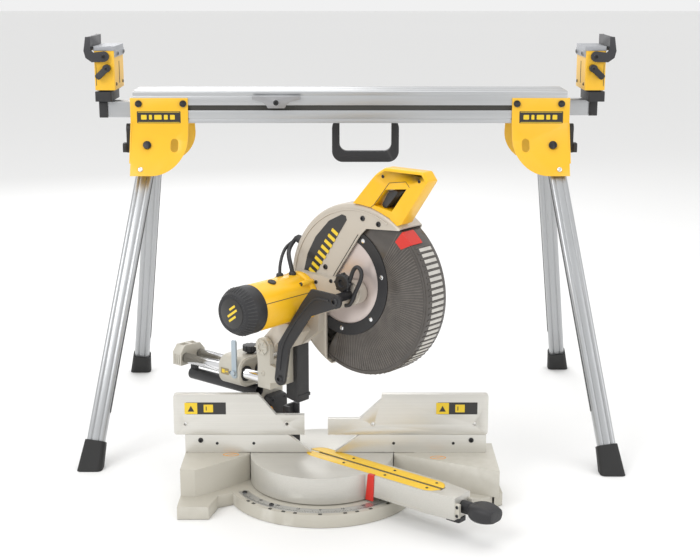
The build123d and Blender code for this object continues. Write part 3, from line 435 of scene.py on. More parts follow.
def make_stage():
    bpy.ops.mesh.primitive_plane_add(size=60, location=(0, 0, -0.001))
    floor = bpy.context.active_object
    floor.name = "floor"
    floor.data.materials.append(floor_material())
    world = bpy.data.worlds.new("studio")
    world.use_nodes = True
    world.node_tree.nodes["Background"].inputs["Color"].default_value = (1, 1, 1, 1)
    world.node_tree.nodes["Background"].inputs["Strength"].default_value = 0.88
    bpy.context.scene.world = world
    lamps = (      # name, place, aim, size, watts
        ("key", (-2.6, -3.0, 3.2), (0, 0, 0.4), 2.4, 72),
        ("fill", (3.2, -2.4, 1.8), (0, 0, 0.4), 2.6, 26),
        ("top", (0.2, 0.4, 3.6), (0, 0, 0.5), 3.0, 34),
        ("back", (-1.0, 3.2, 2.2), (0, 0, 0.6), 2.4, 26),
    )
    for name, place, aim, size, watts in lamps:
        lamp = bpy.data.lights.new(name, "AREA")
        lamp.size = size
        lamp.energy = watts
        holder = bpy.data.objects.new(name, lamp)
        holder.location = place
        holder.rotation_euler = (Vector(aim) - Vector(place)).to_track_quat("-Z", "Y").to_euler()
        bpy.context.scene.collection.objects.link(holder)


make_stage()

# ---------------------------------------------------------------- finishes of the CAD nodes
NODE_FINISH = {
    "beam": ("beam",), "leg": ("leg_front_left", "leg_front_right", "leg_rear_left", "leg_rear_right"),
    "yellow": ("bracket_left", "bracket_right", "support_riser_left", "support_riser_right"),
    "tube": ("extension_tube_left", "extension_tube_right"),
    "rubber": ("foot_front_left", "foot_front_right", "foot_rear_left", "foot_rear_right"),
    "black": ("carry_handle", "support_base_left", "support_base_right", "cam_lever_left",
              "cam_lever_right", "leg_lever_left", "leg_lever_right", "mitre_handle", "mitre_latch",
              "trunnion", "rail_lock_knob", "dust_tube", "trigger", "motor_cap", "guard_link",
              "motor_lead"),
    "bolt": ("bracket_bolts",), "cap": ("support_top_left", "support_top_right"),
    "stop": ("flip_stop_left", "flip_stop_right"),
    "clamp": ("extension_lock_front", "extension_lock_rear"),
    "base": ("saw_base", "bevel_carrier", "rear_bracket", "yoke"), "table": ("turntable",),
    "fence": ("fence_base_left", "fence_base_right", "sliding_fence_left", "sliding_fence_right"),
    "kerf": ("kerf_plates",), "red": ("mitre_pointer",), "orange": ("bevel_lever",),
    "strap": ("side_strap",), "chrome": ("slide_rails",), "guard": ("upper_guard",),
    "motor": ("grip_handle", "motor_housing"), "smoked": ("lower_guard",), "hub": ("hub_plate",),
    "steel": ("blade", "armature", "arbor"),
}
NODE_BEVEL = {      # widest rounding of a node's sharp edges, in metres; the others get EDGE
    "blade": 0.0, "armature": 0.0, "slide_rails": 0.0, "motor_lead": 0.0, "kerf_plates": 0.0003,
    "beam": 0.0006, "turntable": 0.001, "saw_base": 0.0025, "grip_handle": 0.0008,
    "support_base_left": 0.002, "support_base_right": 0.002, "carry_handle": 0.004,
    "guard_link": 0.0012, "mitre_handle": 0.003, "bevel_carrier": 0.002, "yoke": 0.002,
    "lower_guard": 0.0015, "upper_guard": 0.0008,
}
EDGE = 0.0006


def dress_nodes():
    for finish, names in NODE_FINISH.items():
        for name in names:
            node = frame["nodes"][name]
            node.data.materials.clear()
            node.data.materials.append(FINISH[finish])
            width = NODE_BEVEL.get(name, EDGE)
            weld = node.modifiers.new("join", "WELD")
            weld.merge_threshold = 0.00001
            if width:
                modifier = node.modifiers.new("edge_round", "BEVEL")
                modifier.width = width
                modifier.segments = 2
                modifier.limit_method = "ANGLE"
                modifier.angle_limit = radians(40)
            node.data.polygons.foreach_set("use_smooth", [True] * len(node.data.polygons))


dress_nodes()


# ---------------------------------------------------------------- stand details
def stand_details():
    for side, sx in SIDES:
        low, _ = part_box(f"bracket_{side}")
        cheek = beam_low.y - STAND_Y - 0.0032           # outer face of the front cheek
        plate = Face((0, STAND_Y + cheek, 0), (1, 0, 0), UP)
        label_x, label_z = sx * 0.4475, 0.7525
        prism(f"bracket_label_{side}", plate, box_outline(label_x, label_z, 0.102, 0.028, 0.002),
              0, 0.0005, "label", "stand", 0.0001)
        bars = bmesh.new()
        widths = (0.016, 0.010, 0.020, 0.012, 0.014)
        x = label_x - 0.043
        for width in widths:
            add_prism(bars, plate, box_outline(x + width / 2, label_z, width - 0.003, 0.011, 0.0015),
                      0.0005, 0.0009)
            x += width + 0.0025
        finish_piece(f"bracket_label_bars_{side}", bars, "label_yellow", "stand")
        edges = bmesh.new()
        for dz in (-0.012, 0.012):
            add_prism(edges, plate, box_outline(label_x, label_z + dz, 0.097, 0.0012), 0.0005, 0.0008)
        finish_piece(f"bracket_label_lines_{side}", edges, "label_yellow", "stand")
        # leg clamp screw low on each leaning cheek
        lean = atan2(low.y - (beam_low.y - 0.003), -(low.z - beam_low.z))
        for row, sy in ROWS:
            reach = (beam_low.z - low.z) / cos(lean)
            run = Face(
                (0, STAND_Y + sy * (beam_high.y - STAND_Y + 0.0032), beam_low.z),
                (-sy, 0, 0), (0, -sy * sin(-lean), cos(lean)))
            mesh_data = bmesh.new()
            add_screw(mesh_data, run.at(sx * 0.487 * -sy, -reach + 0.016), run.normal, 0.006, 0.003)
            finish_piece(f"clamp_screw_{row}_{side}", mesh_data, "rivet", "stand")
        # end plugs that close the beam round the tubes
        end = Face((sx * (beam_high.x), STAND_Y, 0), (0, sx, 0), UP)
        channel = -sx * 0.022
        prism(f"beam_end_plug_{side}", end, box_outline(sx * channel, 0.7685, 0.038, 0.038, 0.003),
              -0.012, 0.0016, "black", "stand", 0.0006)
        # support: cap bolts, riser slot, riser screws and seam
        cap_low, cap_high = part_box(f"support_top_{side}")
        inner = Face((cap_low.x if sx > 0 else cap_high.x, STAND_Y, 0), (0, -sx, 0), UP)
        heads = [inner.at(-sx * y, 0.899, 0) for y in (-0.042, 0.042)]
        screws(f"cap_bolts_{side}", heads, inner.normal, 0.0045, 0.0015, "bolt", f"riser_{side}")
        riser_low, riser_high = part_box(f"support_riser_{side}")
        wall = Face((riser_low.x if sx > 0 else riser_high.x, STAND_Y, 0), (0, -sx, 0), UP)
        prism(f"riser_slot_{side}", wall, box_outline(0, 0.853, 0.006, 0.052, 0.0028),
              -0.001, 0.0004, "pocket", f"riser_{side}", 0)
        screws(f"riser_screws_{side}", [wall.at(y, 0.828, 0) for y in (-0.045, 0.045)], wall.normal,
               0.004, 0.002, "bolt", f"riser_{side}")
        shell = Face((0, riser_low.y, 0), (1, 0, 0), UP)
        prism(f"riser_seam_{side}", shell, box_outline(sx * 0.590, 0.850, 0.0012, 0.05),
              -0.0005, 0.0003, "pocket", f"riser_{side}", 0)
        stop = Vector(JOINTS[f"flip_stop_{side}_swing"]["pos_m"])
        stop_low, stop_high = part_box(f"flip_stop_{side}")
        pins = bmesh.new()
        add_screw(pins, Vector((stop.x, stop_low.y, stop.z)), Vector((0, -1, 0)), 0.006, 0.0022)
        add_screw(pins, Vector((stop.x, stop_high.y, stop.z)), Vector((0, 1, 0)), 0.006, 0.0022)
        finish_piece(f"stop_pins_{side}", pins, "bolt", f"flip_stop_{side}")
        cam = Vector(JOINTS[f"cam_lever_{side}_turn"]["pos_m"])
        cam_low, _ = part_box(f"cam_lever_{side}")
        mesh_data = bmesh.new()
        add_screw(mesh_data, Vector((cam.x, cam_low.y, cam.z)), Vector((0, -1, 0)), 0.0045, 0.0016)
        finish_piece(f"cam_screw_{side}", mesh_data, "bolt", f"cam_lever_{side}")
    for place, sy, sx in (("front", -1, -1), ("rear", 1, 1)):
        lock_low, lock_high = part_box(f"extension_lock_{place}")
        tip = lock_low.y if sy < 0 else lock_high.y
        mesh_data = bmesh.new()
        add_screw(mesh_data, Vector((sx * 0.172, tip, 0.788)), Vector((0, sy, 0)), 0.0065, 0.002)
        finish_piece(f"lock_screw_{place}", mesh_data, "bolt", f"extension_lock_{place}")
    for place, turn in (("front", -1), ("rear", 1)):
        edge = beam_low.y if turn < 0 else beam_high.y
        groove = Face((0, edge, 0), (-turn, 0, 0), UP)
        prism(f"beam_groove_{place}", groove, box_outline(0, 0.774, 1.0, 0.0112), -0.0062, -0.0050,
              "pocket", "stand", 0)
    leg_strips()


def leg_strips():
    """Black plastic insert down the upper end of each leg's inner face."""
    for side, sx in SIDES:
        for row, sy in ROWS:
            joint = JOINTS[f"leg_{row}_{side}_fold"]
            pivot = Vector(joint["pos_m"])
            normal = Vector(joint["axis"]) * (-sx * sy * 1.0)
            normal = normal if normal.y * sy > 0 else -normal
            low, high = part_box(f"foot_{row}_{side}")
            foot = Vector(((low.x + high.x) / 2, (low.y + high.y) / 2, 0))
            down = (foot - pivot)
            down -= normal * down.dot(normal)
            down.normalize()
            across = normal.cross(down)
            inward = across if across.x * sx < 0 else -across
            edge = Face(pivot + inward * 0.0200, down, down.cross(inward) * -1)
            edge.normal = inward
            mesh_data = bmesh.new()
            add_prism(mesh_data, edge, box_outline(0.33, 0, 0.62, 0.010, 0.002), -0.0008, 0.0004)
            finish_piece(f"leg_strip_{row}_{side}", mesh_data, "black", f"leg_{row}_{side}")


stand_details()


# ---------------------------------------------------------------- head details
GUARD_FACE = 0.020           # left wall of the upper guard
SWING_FACE = 0.012           # left wall of the swinging guard
CASE_FACE = 0.038            # left wall of the belt case
HUB = (0.072, 0.478)         # middle of the swinging guard's round hub plate


def upper_guard_details():
    face = side_face(GUARD_FACE)
    lens = ([(0.084, 0.612), (0.087, 0.604), (0.052, 0.553), (0.014, 0.499), (-0.0235, 0.442)]
            + [(-0.031, 0.447), (-0.030, 0.479), (-0.018, 0.522), (0.004, 0.560), (0.040, 0.597)]
            + [(0.074, 0.614)])
    prism("guard_panel", face, lens[::-1], 0.0, 0.0010, "label", "head", 0.0003)
    stripes = bmesh.new()
    direction = atan2(0.604 - 0.445, 0.075 + 0.022)
    for i in range(9):
        t = (i + 0.9) / 10.5
        x = -0.024 + 0.092 * t
        y = 0.462 + 0.134 * t
        length = 0.010 + 0.020 * sin(pi * (0.15 + 0.7 * t))
        add_prism(stripes, face, box_outline(x + 0.002, y, 0.0075, length * 0.75, 0.0012,
                                             direction), 0.0010, 0.0014)
    finish_piece("guard_panel_stripes", stripes, "label_yellow", "head")
    seam = [face.at(x, y, 0.0002) for x, y in ((0.116, 0.578), (0.077, 0.522), (0.041, 0.470))]
    mesh_data = bmesh.new()
    add_tube(mesh_data, seam, 0.0008, 8)
    finish_piece("guard_seam", mesh_data, "pocket", "head")
    screws("guard_screws", [face.at(0.030, 0.500, 0), face.at(0.128, 0.612, 0),
                            face.at(0.168, 0.605, 0)], LEFTWARD, 0.0055, 0.003, "bolt", "head")
    rim = ring_piece("guard_rib", face, ARBOR[::2], 0.1655, 0.1685, (62, 196), 0.0, 0.0016,
                     "guard", "head", 0.0005)
    # belt case cover: a raised plate with its screws, and the knob with its loop
    case = side_face(CASE_FACE)
    hub = round_outline(ARBOR[0], ARBOR[2], 0.020)
    prism("belt_case_boss", case, hub, 0, 0.004, "guard", "head", 0.001)
    spots = ((0.020, 0.470), (0.060, 0.478), (0.080, 0.432), (0.036, 0.416))
    screws("belt_case_screws", [case.at(x, y, 0) for x, y in spots], LEFTWARD, 0.004, 0.0025,
           "bolt", "head")
    knob_x, knob_z = 0.101, 0.492
    mesh_data = bmesh.new()
    add_turned(mesh_data, case.at(knob_x, knob_z - 0.010, 0), LEFTWARD,
               [(0.013, 0), (0.013, 0.005), (0.0185, 0.006), (0.0185, 0.014), (0.016, 0.017),
                (0.008, 0.017), (0.006, 0.013)])
    finish_piece("guard_knob", mesh_data, "black", "head", 0.0006)
    lugs = bmesh.new()
    for i in range(8):
        angle = 2 * pi * i / 8
        spot = case.at(knob_x + 0.0185 * cos(angle), knob_z - 0.010 + 0.0185 * sin(angle), 0.006)
        add_turned(lugs, spot, LEFTWARD, [(0.0028, 0), (0.0028, 0.008), (0.0015, 0.009)], 10)
    finish_piece("guard_knob_grips", lugs, "black", "head")
    loop = curve_points([case.at(x, y, 0.009) for x, y in (
        (0.100, 0.452), (0.116, 0.486), (0.127, 0.512), (0.138, 0.519), (0.147, 0.510),
        (0.145, 0.494), (0.131, 0.466), (0.119, 0.442), (0.106, 0.436))], 6)
    mesh_data = bmesh.new()
    add_tube(mesh_data, loop, 0.0042, 12)
    finish_piece("guard_loop", mesh_data, "black", "head")


def swing_guard_details():
    face = side_face(SWING_FACE)
    centre = ARBOR[::2]
    ring_piece("guard_ring", face, HUB, 0.090, 0.114, (-116, 66), 0.0, 0.0026, "black",
               "swing_guard", 0.0007)
    rivets = bmesh.new()
    for angle in (59, 11, -44, -92):
        x, y = arc(*HUB, 0.1015, angle, angle, 1)[0]
        add_turned(rivets, face.at(x, y, 0.0026), LEFTWARD,
                   [(0.0045, 0), (0.0045, 0.0004), (0.0032, 0.0008), (0.001, 0.0009)], 20)
    finish_piece("guard_rivets", rivets, "rivet", "swing_guard")
    ribs = bmesh.new()
    first, last, pitch = -119.0, 49.0, 2.2
    for i in range(int((last - first) / pitch) + 1):
        angle = first + pitch * i
        inner = arc(*centre, ring_reach(angle) + 0.001, angle, angle, 1)[0]
        outer = arc(*centre, 0.163, angle + 5.0, angle + 5.0, 1)[0]
        add_bar(ribs, face, inner, outer, 0.0020, -0.0002, 0.0008)
    finish_piece("guard_side_ribs", ribs, "smoked", "swing_guard")
    ring_piece("guard_side_lip", face, centre, 0.1645, 0.1690, (-120, 52), -0.0002, 0.0012,
               "smoked", "swing_guard", 0.0005)
    rim_slots(centre)
    tip = bmesh.new()
    outline = arc(*centre, 0.1745, 40.0, 51.0, 6) + arc(*centre, 0.146, 51.0, 43.0, 6)
    add_prism(tip, face, outline, -0.034, 0.0022)
    finish_piece("guard_tip", tip, "red", "swing_guard", 0.0012)


def ring_reach(angle):
    """How far the black ring's outer edge is from the arbor, in one direction."""
    aside = (HUB[0] - ARBOR[0], HUB[1] - ARBOR[2])
    along = aside[0] * cos(radians(angle)) + aside[1] * sin(radians(angle))
    return along + sqrt(along ** 2 - aside[0] ** 2 - aside[1] ** 2 + 0.114 ** 2)


def rim_slots(centre):
    """Pale slots round the guard's rim, each between two raised ribs."""
    slots, ribs = bmesh.new(), bmesh.new()
    low, high = -0.046, 0.003
    first, last, pitch = -112.0, 36.0, 4.1
    face = side_face(0)
    for i in range(int((last - first) / pitch) + 1):
        angle = first + pitch * i
        slot = (arc(*centre, 0.1727, angle - 1.25, angle + 1.25, 2)
                + arc(*centre, 0.1700, angle + 1.25, angle - 1.25, 2))
        add_prism(slots, face, slot, low + 0.006, high - 0.006)
        rib = (arc(*centre, 0.1736, angle + 1.55, angle + 2.45, 2)
               + arc(*centre, 0.1700, angle + 2.45, angle + 1.55, 2))
        add_prism(ribs, face, rib, low, high + 0.004)
    finish_piece("guard_rim_slots", slots, "slot", "swing_guard", 0.0004)
    finish_piece("guard_rim_ribs", ribs, "smoked", "swing_guard", 0.0003)


def link_details():
    face = side_face(0.1055)
    ends = ((-0.022, 0.271), (0.128, 0.458))
    mesh_data = bmesh.new()
    for x, y in ends:
        add_screw(mesh_data, face.at(x, y, 0), LEFTWARD, 0.0075, 0.004)
    finish_piece("link_pins", mesh_data, "bolt", "head")
    rib = curve_points([face.at(x, y, 0.0) for x, y in (
        (-0.022, 0.290), (-0.011, 0.345), (0.020, 0.396), (0.052, 0.434), (0.078, 0.456),
        (0.112, 0.458))], 8)
    mesh_data = bmesh.new()
    add_tube(mesh_data, rib, 0.0022, 10)
    finish_piece("link_rib", mesh_data, "black", "head")


def grip_details():
    outline = ((0.150, 0.637), (0.158, 0.643), (0.196, 0.690), (0.236, 0.696), (0.245, 0.686))
    for name, leftward, turn in (("left", 0.022, 1), ("right", -0.012, -1)):
        face = side_face(leftward)
        face.normal = LEFTWARD * turn
        seam = bmesh.new()
        add_tube(seam, [face.at(x, y, 0.0001) for x, y in outline], 0.0006, 6)
        finish_piece(f"grip_seam_{name}", seam, "pocket", "head")
        screws(f"grip_screws_{name}", [face.at(x, y, 0) for x, y in ((0.180, 0.701), (0.268, 0.700))],
               face.normal, 0.0035, 0.0008, "bolt", "head")
    post = bmesh.new()
    face = side_face(0)
    shape = [(0.166, 0.633), (0.192, 0.624), (0.214, 0.676), (0.207, 0.681), (0.190, 0.679)]
    add_prism(post, face, shape, -0.011, -0.0056)
    finish_piece("trigger_post", post, "black", "head", 0.0012)


def motor_details():
    s, _, z = MOTOR
    radius = 0.048
    band = side_face(0)
    flange = bmesh.new()
    add_turned(flange, band.at(s, z, 0.0385), LEFTWARD,
               [(radius + 0.0034, 0), (radius + 0.0034, 0.010), (radius + 0.0006, 0.014)], 64)
    finish_piece("motor_flange", flange, "motor", "head", 0.0006)
    bolts = []
    for i in range(4):
        angle = pi / 4 + i * pi / 2
        bolts.append(band.at(s + (radius + 0.001) * cos(angle), z + (radius + 0.001) * sin(angle), 0.072))
    screws("motor_bolts", bolts, LEFTWARD, 0.0042, 0.003, "bolt", "head")
    seams = bmesh.new()
    for angle in (20, 160, 250):
        direction = (cos(radians(angle)), sin(radians(angle)))
        add_tube(seams, [band.at(s + radius * direction[0], z + radius * direction[1], n_at)
                         for n_at in (0.054, 0.12, 0.185)], 0.0007, 8)
    finish_piece("motor_seams", seams, "pocket", "head")
    # brush caps on the housing
    caps = bmesh.new()
    for angle in (75, 255):
        axis = AHEAD * cos(radians(angle)) + UP * sin(radians(angle))
        spot = band.at(s, z, 0.135) + axis * (radius - 0.001)
        add_turned(caps, spot, axis, [(0.0085, 0), (0.0085, 0.0035), (0.007, 0.0045), (0.003, 0.0042)], 28)
    finish_piece("brush_caps", caps, "black", "head")
    # radial vents in the cap's sloping edge, and its face panel
    fins = bmesh.new()
    for i in range(40):
        angle = 2 * pi * i / 40
        direction = AHEAD * cos(angle) + UP * sin(angle)
        line = [band.at(s, z, 0.2150) + direction * 0.0490, band.at(s, z, 0.2290) + direction * 0.0422,
                band.at(s, z, 0.2364) + direction * 0.0345]
        add_tube(fins, line, 0.0013, 6)
    finish_piece("cap_fins", fins, "black", "head")
    disc = bmesh.new()
    add_turned(disc, band.at(s, z, 0.2355), LEFTWARD, [(0.030, 0), (0.030, 0.0012), (0.028, 0.0020)], 48)
    finish_piece("cap_face", disc, "label", "head")
    face = side_face(0.2375)
    marks = bmesh.new()
    for i, length in enumerate((0.018, 0.030, 0.022)):
        add_prism(marks, face, box_outline(s + 0.002, z + 0.012 - 0.011 * i, length, 0.0045, 0.001, 0.6),
                  0, 0.0005)
    finish_piece("cap_face_bars", marks, "label_yellow", "head")


def motor_cables():
    """A second lead beside the motor lead, and the sockets that both end in."""
    face = side_face(0)
    run = ((-0.040, 0.481, 0.082), (-0.050, 0.500, 0.070), (-0.064, 0.519, 0.046),
           (-0.070, 0.532, 0.024), (-0.060, 0.545, 0.002), (-0.048, 0.546, -0.008))
    mesh_data = bmesh.new()
    add_tube(mesh_data, curve_points([face.at(x, y, out) for x, y, out in run], 8), 0.0034, 12)
    finish_piece("motor_cable", mesh_data, "black", "head")
    sockets = bmesh.new()
    for x, y, out in ((-0.025, 0.481, 0.060), (-0.040, 0.479, 0.082)):
        add_turned(sockets, face.at(x, y, out), UP,
                   [(0.0075, 0), (0.0075, 0.005), (0.0062, 0.008), (0.005, 0.0085)], 24)
    away = AHEAD * cos(radians(153)) + UP * sin(radians(153))
    add_turned(sockets, saw_point(ARBOR[0], 0.006, ARBOR[2]) + away * 0.1785, away,
               [(0.0085, 0), (0.0085, 0.010), (0.0070, 0.015), (0.0055, 0.016)], 24)
    finish_piece("cable_sockets", sockets, "black", "head", 0.0005)


upper_guard_details()
swing_guard_details()
link_details()
grip_details()
motor_details()
motor_cables()


# ---------------------------------------------------------------- carriage and tilting carrier
def carriage_details():
    # bore seals at both faces of the housing, round each rail
    seals = bmesh.new()
    for leftward in (0.034, 0.078):
        for ahead, turn in ((-0.146, 1), (-0.207, -1)):
            face = cross_face(ahead)
            outer = round_outline(-leftward, 0.252, 0.0165, 40)
            inner = round_outline(-leftward, 0.252, 0.0115, 40)
            add_ring(seals, face, outer, inner, 0.0, 0.003 * turn)
    finish_piece("rail_seals", seals, "rubber", "tilt", 0.0004)
    face = side_face(0.098)
    prism("housing_badge", face, box_outline(-0.189, 0.2535, 0.024, 0.014, 0.001), 0, 0.0006,
          "badge", "tilt", 0.0001)
    marks = bmesh.new()
    add_prism(marks, face, box_outline(-0.193, 0.2535, 0.008, 0.008, 0.001), 0.0006, 0.0009)
    add_prism(marks, face, box_outline(-0.183, 0.2535, 0.007, 0.0025, 0.0005), 0.0006, 0.0009)
    finish_piece("housing_badge_marks", marks, "label_yellow", "tilt")
    screws("housing_screw", [face.at(-0.171, 0.2535, 0)], LEFTWARD, 0.004, 0.0015, "bolt", "tilt")
    # front cover round the rails
    front = cross_face(-0.146)
    plate = bmesh.new()
    outer = box_outline(-0.056, 0.254, 0.074, 0.050, 0.022)
    add_ring_pair(plate, front, outer, 0.0, 0.0022)
    finish_piece("housing_front_lip", plate, "base", "tilt", 0.0006)
    # yoke: bosses and ribs round the pivot, and a screw
    yoke = side_face(0.092)
    mesh_data = bmesh.new()
    chop = saw_place("chop")
    add_turned(mesh_data, yoke.at(chop[0], chop[2], 0), LEFTWARD,
               [(0.016, 0), (0.016, 0.004), (0.013, 0.0055), (0.0085, 0.0055), (0.0075, 0.0035)], 36)
    finish_piece("pivot_boss", mesh_data, "base", "carriage", 0.0005)
    ribs = bmesh.new()
    for angle in range(0, 360, 60):
        direction = (cos(radians(angle)), sin(radians(angle)))
        middle = (chop[0] + 0.0115 * direction[0], chop[2] + 0.0115 * direction[1])
        add_prism(ribs, yoke, box_outline(*middle, 0.011, 0.002, 0, radians(angle)), 0.0054, 0.0066)
    finish_piece("pivot_boss_ribs", ribs, "base", "carriage")
    mesh_data = bmesh.new()
    add_turned(mesh_data, yoke.at(-0.029, 0.271, 0), LEFTWARD,
               [(0.011, 0), (0.011, 0.005), (0.009, 0.0062)], 28)
    add_screw(mesh_data, yoke.at(-0.082, 0.268, 0), LEFTWARD, 0.005, 0.002)
    finish_piece("yoke_bosses", mesh_data, "base", "carriage", 0.0005)
    rear_bracket_details()
    chute_and_cover()


def chute_and_cover():
    """Black dust chute behind the blade guard, and the cover low on the tilting carrier."""
    side = side_face(0)
    chute = [(-0.084, 0.196), (-0.050, 0.190), (-0.050, 0.318), (-0.062, 0.330), (-0.084, 0.330)]
    prism("dust_chute", side, chute, -0.018, 0.020, "black", "carriage", 0.003)
    lip = [(-0.080, 0.212), (-0.0485, 0.207), (-0.0485, 0.200), (-0.080, 0.205)]
    prism("dust_chute_lip", side, lip, -0.0192, 0.0192, "black", "carriage", 0.0006)
    front = cross_face(-0.147)
    prism("carrier_cover", front, box_outline(0.006, 0.162, 0.060, 0.056, 0.010), 0.0, 0.018,
          "black", "tilt", 0.002, 0.9)
    screws("carrier_cover_screws", [front.at(x, 0.180, 0.018) for x in (-0.012, 0.024)], AHEAD,
           0.0035, 0.001, "bolt", "tilt")


def add_ring(mesh_data, face, outer, inner, low, high):
    """Closed ring between two outlines of the same count."""
    layers = [[[mesh_data.verts.new(face.at(x, y, out)) for x, y in line] for line in (outer, inner)]
              for out in (low, high)]
    count = len(outer)
    for i in range(count):
        j = (i + 1) % count
        for layer in layers:
            mesh_data.faces.new((layer[0][i], layer[0][j], layer[1][j], layer[1][i]))
        for line in (0, 1):
            mesh_data.faces.new((layers[0][line][i], layers[0][line][j], layers[1][line][j],
                                 layers[1][line][i]))


def add_ring_pair(mesh_data, face, outer, low, high):
    """A raised lip that follows an outline inside and out."""
    middle = [sum(p[i] for p in outer) / len(outer) for i in (0, 1)]
    wide = [(middle[0] + (x - middle[0]) * 1.13, middle[1] + (y - middle[1]) * 1.18) for x, y in outer]
    add_ring(mesh_data, face, wide, outer, low, high)


def rear_bracket_details():
    """Truss ribs on the rear rail bracket, and end plugs in the rails."""
    ribs = bmesh.new()
    back = Face(saw_point(-0.357, 0, 0), LEFTWARD, UP)
    corners = [(0.024, 0.240), (0.040, 0.272), (0.056, 0.240), (0.072, 0.272), (0.088, 0.242)]
    for a, b in zip(corners, corners[1:]):
        add_bar(ribs, back, a, b, 0.004, 0.0, 0.0035)
    finish_piece("rear_bracket_ribs", ribs, "base", "carriage", 0.0006)
    left = side_face(0.093)
    pads = bmesh.new()
    for ahead in (-0.351, -0.344, -0.337):
        add_prism(pads, left, box_outline(ahead, 0.250, 0.0025, 0.022), 0.0, 0.002)
    finish_piece("rear_bracket_side_ribs", pads, "base", "carriage", 0.0005)
    plugs = bmesh.new()
    for leftward in (0.034, 0.078):
        face = cross_face(-0.070)
        add_turned(plugs, face.at(-leftward, 0.252, -0.001), AHEAD,
                   [(0.0085, 0), (0.0085, 0.002), (0.0065, 0.003)], 32)
    finish_piece("rail_plugs", plugs, "black", "carriage", 0.0003)


def trunnion_details():
    """Bevel scale arc in front of the trunnion, with its ticks."""
    face = cross_face(-0.128)
    band = ring_piece("bevel_scale", face, (0, 0.086), 0.031, 0.0405, (22, 158), 0.0, 0.0002,
                      "scale", "table", 0.0)
    ticks = bmesh.new()
    for i in range(19):
        angle = 30 + i * 120 / 18
        reach = 0.0365 if i % 3 else 0.0335
        inner = arc(0, 0.086, reach, angle, angle, 1)[0]
        outer = arc(0, 0.086, 0.0398, angle, angle, 1)[0]
        add_bar(ticks, face, inner, outer, 0.0006, 0.0002, 0.0003)
    finish_piece("bevel_scale_ticks", ticks, "label", "table")


carriage_details()
trunnion_details()


# ---------------------------------------------------------------- table, base and fences
def fence_details():
    face = Face((PIVOT.x, PIVOT.y, 0), (1, 0, 0), UP)
    for side, x in (("left", -0.266), ("right", 0.267)):
        body = f"fence_{side}"
        prism(f"fence_label_{side}", face, box_outline(x + 0.021, 0.185, 0.084, 0.0265, 0.001), 0,
              0.0004, "label", body, 0.0001)
        prism(f"fence_label_end_{side}", face, box_outline(x - 0.011, 0.185, 0.027, 0.0252, 0.001),
              0.0004, 0.0007, "label_yellow", body, 0.0001)
        prism(f"fence_label_key_{side}", face, box_outline(x + 0.026, 0.185, 0.020, 0.017, 0.001),
              0.0004, 0.0007, "label_yellow", body, 0.0001)
        mark = bmesh.new()
        add_prism(mark, face, [(x - 0.018, 0.178), (x - 0.004, 0.178), (x - 0.011, 0.191)], 0.0007, 0.0009)
        add_prism(mark, face, box_outline(x + 0.0215, 0.185, 0.0018, 0.009), 0.0007, 0.0009)
        finish_piece(f"fence_label_marks_{side}", mark, "label", body)
    holes = {"left": ((-0.290, 0.150), (-0.074, 0.150)), "right": ((0.325, 0.150), (0.109, 0.150))}
    for side, spots in holes.items():
        rims = bmesh.new()
        for x, y in spots:
            add_ring(rims, face, round_outline(x, y, 0.0052, 24), round_outline(x, y, 0.0036, 24),
                     0.0, 0.0004)
        finish_piece(f"fence_hole_rims_{side}", rims, "fence", f"fence_{side}")
    base_screws = [face.at(x, 0.107, 0) for x in (-0.223, -0.145, 0.153, 0.280)]
    screws("fence_base_screws", base_screws, face.normal, 0.0032, 0.0010, "bolt", "saw")
    knobs = [face.at(x, 0.114, 0) for x in (-0.258, 0.318)]
    screws("fence_lock_screws", knobs, face.normal, 0.0055, 0.003, "bolt", "saw")
    fence_knobs()


def fence_knobs():
    """Knobs behind the fence that lock its sliding halves."""
    for side, x in (("left", -0.235), ("right", 0.270)):
        back = Vector((PIVOT.x + x, PIVOT.y + 0.039, 0.108))
        mesh_data = bmesh.new()
        add_turned(mesh_data, Vector((back.x, back.y - 0.0245, back.z)), Vector((0, 1, 0)),
                   [(0.005, 0), (0.005, 0.013), (0.013, 0.014), (0.014, 0.022), (0.012, 0.0265)], 24)
        finish_piece(f"fence_knob_{side}", mesh_data, "black", "saw", 0.0006)


